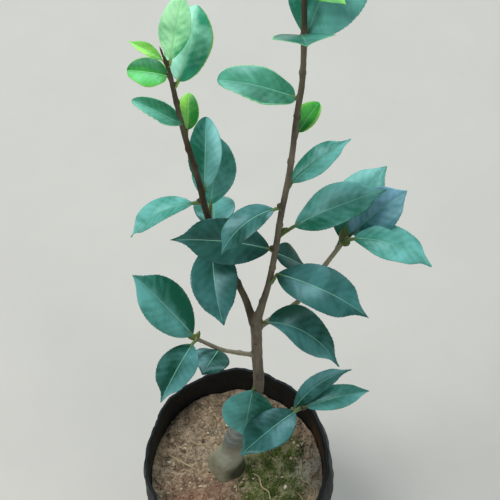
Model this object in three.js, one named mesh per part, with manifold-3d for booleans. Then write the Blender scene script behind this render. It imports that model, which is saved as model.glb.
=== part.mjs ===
import * as THREE from 'three'
import Module from 'manifold-3d'

// A young grafted camellia in its soft nursery pot. Millimetres, +Z up,
// +X to the right and +Y to the back. The origin lies on the flat underside of the pot,
// 2.5 mm right of its middle and 6 mm in front of it.

// Pot: a nearly round film pot with a folded-over collar.
const POT_HEIGHT = 165
const POT_HALF_WIDTH = 80
const POT_HALF_DEPTH = 86
const POT_MIDDLE = [-2.5, 6]
const POT_TAPER = 0.055
const POT_WALL = 2.2
const POT_FLOOR = 2.5
const POT_SIDES = 40
const COLLAR_DEPTH = 28
const COLLAR_FLARE_RIGHT = 5.5
const COLLAR_FLARE_LEFT = 2.2
const GAP = 0.4

// Soil.
const SOIL_LEVEL = 130
const SOIL_MOUND = 3
const SOIL_LUMP = 1.5
// Low cushions of moss: x, y, radius.
const MOSS = [[16, 12, 22], [36, 14, 24], [20, -10, 26], [42, -12, 24], [26, -34, 24], [44, 31, 18]]
const MOSS_HEIGHT = 1.6

// Leaf blades and stalks.
const BLADE_THICK = 0.9
const BLADE_THICK_SMALL = 0.7
const SMALL_LEAF = 35
const MARGIN_CURL = 0.12
const STALK_RADIUS = 1.1
// Slivers smaller than this are merged away.
const TRIM = 0.04

const wasm = await Module()
wasm.setup()

// Stations of each stem: x, y, z, radius.
const TRUNK = [
  [-11.5, 13, 130, 17], [-10.3, 11.5, 145, 14], [-8.3, 9.5, 162, 11.6], [-4, 7, 195, 8.4],
  [6, 10, 229, 5.6], [16, 11, 277, 4.7], [15, 9, 337, 4.3], [14, 8, 388, 4.4]
]
const RIGHT_LEADER = [
  [14, 8, 388, 3.9], [18.6, 9, 413, 2.7], [23, 11, 437, 2.3], [27, 13, 473, 2.2], [30, 13, 514, 2.2],
  [34.8, 11, 567, 2], [37.4, 8, 622, 1.9], [39.6, 6, 660, 1.8], [38.5, 8, 717, 1.7], [36, 10, 765, 1.3]
]
const LEFT_LEADER = [
  [12, 9, 386, 3.2], [6, 14, 411, 2.6], [-2, 19, 433, 2.4], [-11, 24, 460, 2.3], [-20, 28, 495, 2.3],
  [-25, 28, 535, 2.1], [-33, 25, 593, 1.8], [-38, 19, 649, 1.3], [-41, 17, 666, 0.6]
]
const SIDE_SHOOT = [[15, 8, 380, 2.4], [32, 19, 382, 2.1], [47, 24, 394, 2], [62, 17, 448, 1.8], [76, 14, 489, 1.5]]
const LOW_LEFT_SHOOT = [[13, 8, 339, 2], [-4, 5, 349, 1.7], [-14, 3, 357, 1.6], [-32, 0, 378, 1.5]]
const LOW_RIGHT_SHOOT = [[1, 9, 210, 2.4], [20, 6, 229, 2], [39, 4, 248, 1.8], [52, 4, 258, 1.6]]

// Where each leader or shoot hands over to the spray at its tip, in mm along its line.
const RIGHT_LEADER_END = 332
const LEFT_LEADER_END = 250
const SIDE_SHOOT_END = 125.5
const LOW_LEFT_END = 53
const LOW_RIGHT_END = 62

// Leaves: stem, distance along it, stalk length, turn of the stalk, bearing and rise
// of the blade, droop along it, length, width, keel fold, roll and sweep, then where needed
// the rise of the stalk, the twist of the blade along its length and how early it is
// widest. Degrees and mm.
const LEAVES = {
  a: ['left', 277, 5, -55, 66, 66, 20, 42, 20, 20, 0, 5],
  b: ['left', 256, 5.5, -48, 60, 50, 10, 46, 29, 12, 0, 18],
  c: ['left', 280, 3, 0, 163, 34, 20, 22, 9, 20, 0, 0],
  d: ['left', 266, 2, 0, 177, 17, 15, 24, 23, 10, 0, 0],
  e: ['left', 220, 5, 110, 167, 29, 20, 34, 17, 20, 0, -10],
  f: ['left', 206, 4, -60, 88, 51, 20, 23.5, 15, 20, 0, 0],
  h: ['left', 131, 8, 0, -163, 14, 80, 54, 22, 20, 5, 0],
  i1: ['left', 141, 4, -40, 89, 37, 15, 49, 26, 30, 0, 0],
  i2: ['left', 113, 10, 0, 76, 48, 16, 52, 32, 20, 0, 24],
  i3: ['left', 96, 6, 0, 92, -10, 25, 50, 31, 15, 0, 0],
  l: ['left', 97, 8, 0, -93, -7, 25, 60, 33, 15, 0, 22],
  k: ['right', 88, 5, 0, -172, 32, 25, 73, 33, 15, -25, 0],
  j: ['right', 138.5, 6, 0, -158, 10, 70, 50, 22, 15, 0, 25],
  m: ['right', 76, 8, 80, 10, -42, 5, 33, 24, 15, 5, 0, -5],
  n: ['right', 53, 16, -12, -28, 20, 48, 74, 37, 12, 0, 0, 65],
  o: ['trunk', 263, 9, 0, -8, 11, 48, 66, 36, 36, -26, -44, 11, 86, 0.66],
  p: ['right', 162, 4, 0, 28, 35, 20, 48, 20, 15, 0, 0],
  q: ['right', 106, 14, 0, 11, 34, 25, 68, 34, 15, 0, 0],
  r: ['side', 134.5, 9, 0, 25, 44, 20, 49, 33, 15, 22, 0],
  s: ['side', 139.5, 12, -50, -6, 12, 42, 58, 29, 15, 0, -24, 50],
  t: ['side', 125.5, 8, 0, 66, 46, 20, 60, 34, 15, 0, -32],
  u: ['right', 253, 3, 0, 180, 28, 20, 48, 29, 15, 0, 0],
  v: ['right', 216, 4, -20, 50, 38, 20, 22, 18, 34, 0, 0],
  w: ['right', 305, 7, -30, -86, 43, 15, 34, 35, 12, 0, 0],
  x: ['right', 298, 5, 0, 44, 70, 40, 74, 52, 12, 0, 0],
  y: ['right', 339, 4, 0, -44, 21, 15, 26, 15, 20, 0, 0],
  z1: ['right', 350, 5, 0, 150, 35, 20, 42, 22, 15, 0, 0],
  z2: ['right', 361, 5, 0, 50, 45, 20, 44, 23, 15, 0, 0],
  z3: ['right', 370, 4, 0, -160, 62, 15, 34, 16, 20, 0, 0],
  z4: ['right', 376, 4, 0, -20, 66, 15, 32, 15, 20, 0, 0],
  A: ['lowleft', 61, 3.5, 0, 150, 51, 20, 67, 40, 12, 0, 0],
  B: ['lowleft', 60, 6, 0, -116, 6, 25, 52, 30, 20, 0, 0],
  C: ['lowleft', 33, 2, 0, -113, 28, 20, 31, 29, 12, 0, 0],
  D: ['lowright', 62, 2, 0, 44, 45, 25, 62, 18, 15, 0, -42],
  E: ['lowright', 71, 4, 0, 8, 24, 20, 55, 24, 20, 0, 0],
  F: ['lowright', 70, 11, 13, -138, 17, 29, 62, 34, 12, 0, 0, 40],
  G: ['trunk', 160, 7, -32, -108, -56, 8, 46, 44, 4, -20, 0, -20]
}

// Smooth line through the stations, sampled with its running length.
function line (stations, steps = 8) {
  const n = stations.length
  const ends = (a, b) => a.map((v, i) => 2 * v - b[i])
  const p = [ends(stations[0], stations[1]), ...stations, ends(stations[n - 1], stations[n - 2])]
  const out = []
  for (let i = 1; i < n; i++) {
    for (let k = 0; k < steps; k++) {
      const t = k / steps
      out.push(p[i].map((b, c) => {
        const a = p[i - 1][c]
        const d = p[i + 1][c]
        const e = p[i + 2][c]
        const cubic = (3 * b - a - 3 * d + e) * t * t * t
        return 0.5 * (2 * b + (d - a) * t + (2 * a - 5 * b + 4 * d - e) * t * t + cubic)
      }))
    }
  }
  out.push([...stations[n - 1]])
  const run = [0]
  for (let i = 1; i < out.length; i++) {
    run.push(run[i - 1] + Math.hypot(out[i][0] - out[i - 1][0], out[i][1] - out[i - 1][1], out[i][2] - out[i - 1][2]))
  }
  return { points: out, run }
}

function at (curve, d) {
  let i = 1
  while (i < curve.run.length - 1 && curve.run[i] < d) i++
  const f = (d - curve.run[i - 1]) / (curve.run[i] - curve.run[i - 1])
  return curve.points[i - 1].map((v, c) => v + (curve.points[i][c] - v) * f)
}

function solid (vertices, triangles) {
  const mesh = new wasm.Mesh({
    numProp: 3,
    vertProperties: new Float32Array(vertices.flat()),
    triVerts: new Uint32Array(triangles.flat())
  })
  return new wasm.Manifold(mesh)
}

// Round rod along points that carry x, y, z and radius, with flat ends.
function rod (points, sides, grow = 0) {
  const pts = points.map(p => new THREE.Vector3(p[0], p[1], p[2]))
  const vertices = []
  const triangles = []
  let side = new THREE.Vector3(1, 0, 0)
  pts.forEach((p, i) => {
    const ahead = pts[Math.min(i + 1, pts.length - 1)].clone().sub(pts[Math.max(i - 1, 0)]).normalize()
    if (i === 0 && Math.abs(ahead.x) > 0.9) side.set(0, 1, 0)
    side = side.clone().addScaledVector(ahead, -side.dot(ahead)).normalize()
    const over = ahead.clone().cross(side)
    for (let k = 0; k < sides; k++) {
      const a = 2 * Math.PI * k / sides
      const r = points[i][3] + grow
      const q = p.clone().addScaledVector(side, r * Math.cos(a)).addScaledVector(over, r * Math.sin(a))
      vertices.push([q.x, q.y, q.z])
    }
  })
  for (let i = 0; i < pts.length - 1; i++) {
    for (let k = 0; k < sides; k++) {
      const a = i * sides + k
      const b = i * sides + (k + 1) % sides
      triangles.push([a, b, b + sides], [a, b + sides, a + sides])
    }
  }
  const first = vertices.length
  vertices.push(points[0].slice(0, 3), points[points.length - 1].slice(0, 3))
  const top = (pts.length - 1) * sides
  for (let k = 0; k < sides; k++) {
    const n = (k + 1) % sides
    triangles.push([first, n, k], [first + 1, top + k, top + n])
  }
  return solid(vertices, triangles)
}

// Part of a stem line between two distances, thinned to about one ring every `step` mm.
function piece (curve, from, to, step) {
  const rings = Math.max(2, Math.round((to - from) / step))
  return Array.from({ length: rings + 1 }, (_, i) => at(curve, from + (to - from) * i / rings))
}

const smooth = (a, b, x) => {
  const t = Math.min(1, Math.max(0, (x - a) / (b - a)))
  return t * t * (3 - 2 * t)
}

// Half width of a blade along its midrib, 0 at the stalk and 1 at the tip.
const halfWidth = (t, early) => Math.sin(Math.PI * t ** early) ** 0.8 * (1 - 0.4 * smooth(0.76, 0.97, t))

const rad = d => d * Math.PI / 180
const heading = (bearing, rise) => new THREE.Vector3(
  Math.cos(rad(rise)) * Math.cos(rad(bearing)),
  Math.cos(rad(rise)) * Math.sin(rad(bearing)),
  Math.sin(rad(rise))
)

const curves = {
  trunk: line(TRUNK),
  right: line(RIGHT_LEADER),
  left: line(LEFT_LEADER),
  side: line(SIDE_SHOOT),
  lowleft: line(LOW_LEFT_SHOOT),
  lowright: line(LOW_RIGHT_SHOOT)
}

// One leaf: stalk from the middle of its stem and a keeled, drooping blade.
function leaf (key) {
  const [stem, along, stalk, turn, bearing, rise, droop, length, width, fold, roll, sweep, lift = rise, twist = 0, early = 0.9] = LEAVES[key]
  const root = new THREE.Vector3(...at(curves[stem], along).slice(0, 3))
  const start = root.clone().addScaledVector(heading(bearing + turn, lift), stalk)
  const big = length > SMALL_LEAF
  const intervals = big ? 6 : 5
  const thick = big ? BLADE_THICK : BLADE_THICK_SMALL
  const across = big ? [-1, -0.5, 0, 0.5, 1] : [-1, 0, 1]
  const fine = 4
  const vertices = []
  const rib = []
  const p = start.clone()
  for (let i = 0; i <= intervals * fine; i++) {
    const t = i / (intervals * fine)
    const ahead = heading(bearing + sweep * t, rise - droop * t)
    if (i % fine === 0) {
      const flat = new THREE.Vector3(-Math.sin(rad(bearing + sweep * t)), Math.cos(rad(bearing + sweep * t)), 0)
      const up0 = ahead.clone().cross(flat)
      const bank = rad(roll + twist * t)
      const left = flat.clone().multiplyScalar(Math.cos(bank)).addScaledVector(up0, Math.sin(bank))
      const up = ahead.clone().cross(left)
      const end = i === 0 || i === intervals * fine
      const half = end ? 0.8 : Math.max(0.8, width / 2 * halfWidth(t, early))
      rib.push([p.x, p.y, p.z])
      for (const v of across) {
        const high = half * (Math.abs(v) * Math.sin(rad(fold)) - MARGIN_CURL * v * v)
        const q = p.clone().addScaledVector(left, half * v * Math.cos(rad(fold))).addScaledVector(up, high)
        const top = q.clone().addScaledVector(up, thick / 2)
        const low = q.clone().addScaledVector(up, -thick / 2)
        vertices.push([top.x, top.y, top.z], [low.x, low.y, low.z])
      }
    }
    p.addScaledVector(ahead, length / (intervals * fine))
  }
  const n = across.length
  const id = (i, j, low) => (i * n + j) * 2 + low
  const triangles = []
  const quad = (a, b, c, d) => triangles.push([a, b, c], [a, c, d])
  for (let i = 0; i < intervals; i++) {
    for (let j = 0; j < n - 1; j++) {
      quad(id(i, j, 0), id(i + 1, j, 0), id(i + 1, j + 1, 0), id(i, j + 1, 0))
      quad(id(i, j, 1), id(i, j + 1, 1), id(i + 1, j + 1, 1), id(i + 1, j, 1))
    }
    quad(id(i, 0, 1), id(i + 1, 0, 1), id(i + 1, 0, 0), id(i, 0, 0))
    quad(id(i, n - 1, 0), id(i + 1, n - 1, 0), id(i + 1, n - 1, 1), id(i, n - 1, 1))
  }
  for (let j = 0; j < n - 1; j++) {
    quad(id(0, j, 1), id(0, j, 0), id(0, j + 1, 0), id(0, j + 1, 1))
    quad(id(intervals, j, 0), id(intervals, j, 1), id(intervals, j + 1, 1), id(intervals, j + 1, 0))
  }
  const blade = solid(vertices, triangles)
  const into = rib[1].map((v, c) => rib[0][c] + (v - rib[0][c]) * 0.6)
  const stalkRod = rod([
    [root.x, root.y, root.z, STALK_RADIUS * 1.25],
    [start.x, start.y, start.z, STALK_RADIUS],
    [...into, STALK_RADIUS * 0.6]
  ], 5)
  return blade.add(stalkRod)
}

// Pointed bud standing on a stem line, always fused into a spray.
function bud (place, bearing, rise, length, radius) {
  const way = heading(bearing, rise)
  const shape = [[0, 0.6], [0.25, 1], [0.55, 0.92], [0.85, 0.42], [1, 0.08]]
  return rod(shape.map(([f, w]) => {
    const q = new THREE.Vector3(...place.slice(0, 3)).addScaledVector(way, length * f)
    return [q.x, q.y, q.z, radius * w]
  }), 6)
}

const ringSides = { trunk: 14, right: 8, left: 8, side: 8, lowleft: 8, lowright: 8 }
const ends = {
  trunk: curves.trunk.run[curves.trunk.run.length - 1],
  right: RIGHT_LEADER_END,
  left: LEFT_LEADER_END,
  side: SIDE_SHOOT_END,
  lowleft: LOW_LEFT_END,
  lowright: LOW_RIGHT_END
}
const steps = { trunk: 17, right: 19, left: 18, side: 14, lowleft: 11, lowright: 11 }
const stem = (key, grow = 0) => {
  const rings = piece(curves[key], -grow, ends[key] + grow, steps[key])
  if (key !== 'trunk') return rod(rings, ringSides[key], grow)
  // The trunk is cut flat where it stands on the soil.
  const below = [TRUNK[0][0] - 1, TRUNK[0][1] - 0.6, TRUNK[0][2] - 9, TRUNK[0][3] + 3]
  return rod([below, ...rings], ringSides[key], grow).trimByPlane([0, 0, 1], SOIL_LEVEL - grow)
}

const parts = []
const palette = {
  pot: 0x1b2126, soil: 0x6b5240, bark: 0x6e6454, leader: 0x5a4c3a, shoot: 0x8a8270, tape: 0x8a8a92,
  leaf: 0x2f7a63, fresh: 0x58a83a
}
function add (name, body, colour) {
  const mesh = body.getMesh()
  const geometry = new THREE.BufferGeometry()
  geometry.setAttribute('position', new THREE.BufferAttribute(new Float32Array(mesh.vertProperties), 3))
  geometry.setIndex(new THREE.BufferAttribute(new Uint32Array(mesh.triVerts), 1))
  const out = new THREE.Mesh(geometry, new THREE.MeshStandardMaterial({ color: colour, roughness: 0.6 }))
  out.name = name
  out.geometry.computeVertexNormals()
  parts.push(out)
}
// The largest piece, for a body whose cut left a crumb.
const largest = body => body.decompose().sort((a, b) => b.volume() - a.volume())[0]
const whole = body => largest(largest(body).simplify(TRIM))

// Pot outline: radius at an angle and height, with slow dents of the soft film.
const angle = k => 2 * Math.PI * k / POT_SIDES
const dent = (a, z) => 0.9 * Math.sin(3 * a + 0.7 + z * 0.012) + 0.6 * Math.sin(7 * a + 2.1 - z * 0.03)
const rimLift = a => 1.2 * Math.sin(2 * a + 0.4) + 0.8 * Math.sin(5 * a + 1.3)
function potPoint (a, z, out) {
  const belly = 1 - POT_TAPER * (1 - z / POT_HEIGHT) + 0.018 * Math.sin(Math.PI * z / POT_HEIGHT)
  const ease = smooth(4, 30, z)
  const swell = dent(a, z) * ease + out
  return [
    POT_MIDDLE[0] + (POT_HALF_WIDTH * belly + swell) * Math.cos(a),
    POT_MIDDLE[1] + (POT_HALF_DEPTH * belly + swell) * Math.sin(a),
    z
  ]
}
const flare = a => COLLAR_FLARE_LEFT + (COLLAR_FLARE_RIGHT - COLLAR_FLARE_LEFT) * (0.5 + 0.5 * Math.cos(a - 0.2))

function pot () {
  const top = POT_HEIGHT
  const rows = [
    [0, -6, 0], [2, -2, 0], [6, 0, 0], [40, 0, 0], [80, 0, 0], [110, 0, 0],
    [top - COLLAR_DEPTH, 0.3, 0], [top - COLLAR_DEPTH - 1, 1, 1], [top - COLLAR_DEPTH + 1.5, 1.4, 1],
    [top - 16, 1.2, 0.75], [top - 6, 0.9, 0.4], [top - 1.2, 0.3, 0.12], [top, -1.1, 0],
    [top - 1.5, -POT_WALL - 0.5, 0], [top - 16, -POT_WALL, 0], [100, -POT_WALL, 0], [50, -POT_WALL, 0],
    [POT_FLOOR + 5, -POT_WALL, 0], [POT_FLOOR, -POT_WALL - 5, 0]
  ]
  const vertices = []
  rows.forEach(([z, out, share]) => {
    for (let k = 0; k < POT_SIDES; k++) {
      const a = angle(k)
      const q = potPoint(a, z, out + share * flare(a))
      const lift = rimLift(a) * smooth(100, top - 4, z)
      vertices.push([q[0], q[1], z + lift])
    }
  })
  const triangles = []
  for (let i = 0; i < rows.length - 1; i++) {
    for (let k = 0; k < POT_SIDES; k++) {
      const a = i * POT_SIDES + k
      const b = i * POT_SIDES + (k + 1) % POT_SIDES
      triangles.push([a, b, b + POT_SIDES], [a, b + POT_SIDES, a + POT_SIDES])
    }
  }
  const under = vertices.length
  vertices.push([...POT_MIDDLE, 0], [...POT_MIDDLE, POT_FLOOR])
  const last = (rows.length - 1) * POT_SIDES
  for (let k = 0; k < POT_SIDES; k++) {
    const n = (k + 1) % POT_SIDES
    triangles.push([under, n, k], [under + 1, last + k, last + n])
  }
  return solid(vertices, triangles)
}

// Soil: fills the pot to its level, lumpy on top, flat where the trunk stands.
function soilHeight (x, y) {
  const fromTrunk = Math.hypot(x - TRUNK[0][0], y - TRUNK[0][1])
  const lumps = Math.sin(x * 0.11 + 1.3) * Math.cos(y * 0.13) + 0.7 * Math.sin(x * 0.23 - y * 0.19 + 0.5)
  const shape = SOIL_LUMP * lumps + SOIL_MOUND * (Math.exp(-((fromTrunk / 48) ** 2)) - 0.5)
  const moss = Math.max(...MOSS.map(([mx, my, r]) => smooth(r, r * 0.35, Math.hypot(x - mx, y - my))))
  return SOIL_LEVEL - GAP + (shape + MOSS_HEIGHT * moss) * smooth(24, 36, fromTrunk)
}
function soil () {
  const vertices = []
  const triangles = []
  const rings = [0.24, 0.34, 0.46, 0.58, 0.7, 0.8, 0.88, 0.95, 1]
  const inset = -POT_WALL - GAP - 0.45
  const cx = TRUNK[0][0]
  const cy = TRUNK[0][1]
  for (const f of rings) {
    for (let k = 0; k < POT_SIDES; k++) {
      const q = potPoint(angle(k), SOIL_LEVEL, inset)
      const x = cx + (q[0] - cx) * f
      const y = cy + (q[1] - cy) * f
      vertices.push([x, y, soilHeight(x, y)])
    }
  }
  const walls = [100, 50, POT_FLOOR + 6, POT_FLOOR + GAP]
  for (const z of walls) {
    for (let k = 0; k < POT_SIDES; k++) {
      const q = potPoint(angle(k), z, inset - (z < 10 && z < POT_FLOOR + 1 ? 5.5 : 0))
      vertices.push([q[0], q[1], z])
    }
  }
  const rows = rings.length + walls.length
  for (let i = 0; i < rows - 1; i++) {
    for (let k = 0; k < POT_SIDES; k++) {
      const a = i * POT_SIDES + k
      const b = i * POT_SIDES + (k + 1) % POT_SIDES
      triangles.push([a, b + POT_SIDES, b], [a, a + POT_SIDES, b + POT_SIDES])
    }
  }
  const middle = vertices.length
  vertices.push([cx, cy, SOIL_LEVEL - GAP], [...POT_MIDDLE, POT_FLOOR + GAP])
  const last = (rows - 1) * POT_SIDES
  for (let k = 0; k < POT_SIDES; k++) {
    const n = (k + 1) % POT_SIDES
    triangles.push([middle, k, n], [middle + 1, last + n, last + k])
  }
  return solid(vertices, triangles)
}

add('pot', pot(), palette.pot)
add('soil', soil(), palette.soil)

const grown = Object.fromEntries(Object.keys(curves).map(key => [key, stem(key, GAP)]))
const trunk = stem('trunk')
const rightLeader = stem('right').subtract(grown.trunk)
const leftLeader = whole(stem('left').subtract(grown.trunk).subtract(grown.right))
const sideShoot = whole(stem('side').subtract(grown.trunk).subtract(grown.right).subtract(grown.left))
const lowLeft = whole(stem('lowleft').subtract(grown.trunk))

// Graft tape: a thin sleeve round the trunk between two heights along its line.
const TAPE_FROM = 65
const TAPE_TO = 92
const TAPE_THICK = 1
const tapeLine = piece(curves.trunk, TAPE_FROM, TAPE_TO, 12)
const tapeHole = rod(piece(curves.trunk, TAPE_FROM - 6, TAPE_TO + 6, 12), 14, GAP + 0.2)
const tape = rod(tapeLine, 14, GAP + 0.2 + TAPE_THICK).subtract(tapeHole)
const tapeGrown = rod(piece(curves.trunk, TAPE_FROM - 0.5, TAPE_TO + 0.5, 12), 14, 2 * GAP + 0.2 + TAPE_THICK)
const lowRight = whole(stem('lowright').subtract(grown.trunk).subtract(tapeGrown))

add('trunk', trunk, palette.bark)
add('graft_tape', tape, palette.tape)
add('right_leader', whole(rightLeader), palette.leader)
add('left_leader', leftLeader, palette.leader)
add('right_side_shoot', sideShoot, palette.shoot)
add('low_left_shoot', lowLeft, palette.leader)
add('low_right_shoot', lowRight, palette.leader)

// Everything that a leaf has to stay clear of.
const stems = Object.values(grown).reduce((a, b) => a.add(b)).add(tapeGrown)

// A spray at the tip of a stem: its last twig, the leaves on it and its buds.
function spray (name, key, leaves, buds, colour) {
  const curve = curves[key]
  const full = curve.run[curve.run.length - 1]
  let body = rod(piece(curve, ends[key] + GAP, full, 9), 8)
  for (const one of leaves) body = body.add(leaf(one))
  for (const [along, bearing, rise, length, radius] of buds) {
    body = body.add(bud(at(curve, along), bearing, rise, length, radius))
  }
  add(name, whole(body.subtract(stems)), colour)
}

spray('right_tip_spray', 'right', ['y', 'z1', 'z2', 'z3', 'z4'], [[379, 120, 78, 12, 2.2]], palette.leaf)
spray('left_tip_spray', 'left', ['a', 'b', 'c', 'd'], [[287, 150, 75, 7, 0.7]], palette.fresh)
spray('side_tip_spray', 'side', ['r', 's', 't'], [[134.5, 80, 70, 14, 3.6], [134.5, -50, 45, 11, 3]], palette.leaf)
spray('low_left_spray', 'lowleft', ['A', 'B'], [[60, 175, 30, 9, 2.6], [59, 60, 50, 8, 2.2]], palette.leaf)
spray('low_right_spray', 'lowright', ['D', 'E', 'F'], [[70, -20, 45, 9, 2.8]], palette.leaf)

// Single leaves along the stems, each with its own stalk.
const SINGLE = {
  right_leaf_base: 'n', right_leaf_under: 'm', right_leaf_long: 'k', right_leaf_branch: 'q',
  right_leaf_crook: 'j', right_leaf_mid: 'p', right_leaf_cup: 'v', right_leaf_wide: 'u',
  right_leaf_back: 'x', right_leaf_front: 'w', left_leaf_front: 'l', left_leaf_tall: 'i2',
  left_leaf_out: 'h', left_leaf_hanging: 'i3', left_leaf_folded: 'i1',
  left_leaf_fresh: 'f', left_leaf_torn: 'e', fork_leaf: 'o', low_left_leaf: 'C', low_trunk_leaf: 'G'
}
const young = { f: palette.fresh, v: palette.fresh }
for (const [name, key] of Object.entries(SINGLE)) {
  add(name, whole(leaf(key).subtract(stems)), young[key] || palette.leaf)
}

const group = new THREE.Group()
parts.forEach(part => group.add(part))
export default group
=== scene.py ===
import math

import bpy
import numpy as np
from bpy.props import FloatProperty, FloatVectorProperty, IntProperty, PointerProperty
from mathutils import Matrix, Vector, noise


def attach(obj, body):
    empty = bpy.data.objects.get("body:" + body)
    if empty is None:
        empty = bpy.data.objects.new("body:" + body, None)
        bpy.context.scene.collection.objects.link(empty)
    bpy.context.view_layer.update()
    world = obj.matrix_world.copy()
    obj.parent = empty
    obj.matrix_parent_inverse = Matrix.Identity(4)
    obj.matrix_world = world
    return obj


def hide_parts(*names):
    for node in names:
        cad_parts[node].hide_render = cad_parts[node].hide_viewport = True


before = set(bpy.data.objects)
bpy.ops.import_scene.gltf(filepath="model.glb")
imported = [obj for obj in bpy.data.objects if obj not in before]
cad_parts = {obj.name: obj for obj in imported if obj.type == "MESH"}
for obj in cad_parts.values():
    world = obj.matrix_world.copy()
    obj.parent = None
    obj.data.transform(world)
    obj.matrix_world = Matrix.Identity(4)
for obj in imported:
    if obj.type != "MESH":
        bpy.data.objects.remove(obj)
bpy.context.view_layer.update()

bl_info = {
    "name": "Potted camellia",
    "version": (1, 0, 0),
    "blender": (4, 5, 0),
    "location": "3D View > Sidebar > Camellia",
    "description": "Dresses the packed solids of a young grafted camellia in a soft nursery pot",
    "category": "Add Mesh",
}

MM = 0.001
PLAIN = (1, 1, 1)


def srgb(r, g, b):
    """A colour picked on a screen, 0 to 255, as the linear values that a shader takes."""
    return tuple((c / 255 / 12.92) if c < 10.3 else ((c / 255 + 0.055) / 1.055) ** 2.4 for c in (r, g, b))


# The plant's own rule, in millimetres

# Stations of each limb: x, y, z, radius.
LIMBS = {
    "trunk": [
        (-11.5, 13, 130, 17), (-10.3, 11.5, 145, 14), (-8.3, 9.5, 162, 11.6), (-4, 7, 195, 8.4),
        (6, 10, 229, 5.6), (16, 11, 277, 4.7), (15, 9, 337, 4.3), (14, 8, 388, 4.4),
    ],
    "right": [
        (14, 8, 388, 3.9), (18.6, 9, 413, 2.7), (23, 11, 437, 2.3), (27, 13, 473, 2.2), (30, 13, 514, 2.2),
        (34.8, 11, 567, 2), (37.4, 8, 622, 1.9), (39.6, 6, 660, 1.8), (38.5, 8, 717, 1.7), (36, 10, 765, 1.3),
    ],
    "left": [
        (12, 9, 386, 3.2), (6, 14, 411, 2.6), (-2, 19, 433, 2.4), (-11, 24, 460, 2.3), (-20, 28, 495, 2.3),
        (-25, 28, 535, 2.1), (-33, 25, 593, 1.8), (-38, 19, 649, 1.3), (-41, 17, 666, 0.6),
    ],
    "side": [(15, 8, 380, 2.4), (32, 19, 382, 2.1), (47, 24, 394, 2), (62, 17, 448, 1.8), (76, 14, 489, 1.5)],
    "lowleft": [(13, 8, 339, 2), (-4, 5, 349, 1.7), (-14, 3, 357, 1.6), (-32, 0, 378, 1.5)],
    "lowright": [(1, 9, 210, 2.4), (20, 6, 229, 2), (39, 4, 248, 1.8), (52, 4, 258, 1.6)],
}
# Two more stations that carry the trunk's foot on into the soil.
TRUNK_FOOT = [(-12.1, 13.6, 121, 19.2), (-11.8, 13.3, 125.5, 18.2)]
# Places along a limb where a leaf has dropped: distance and bearing of the scar.
SCARS = {
    "trunk": [(118, 40), (176, -60), (204, 120), (236, -100)],
    "right": [(28, 200), (68, 20), (118, 30), (190, 170), (236, -40), (276, 150)],
    "left": [(44, 20), (72, 200), (172, 20), (190, 190), (240, 30)],
    "side": [(34, -80), (70, 90), (98, -60)],
    "lowleft": [(14, 90)],
    "lowright": [(36, -90), (50, 80)],
}

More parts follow.
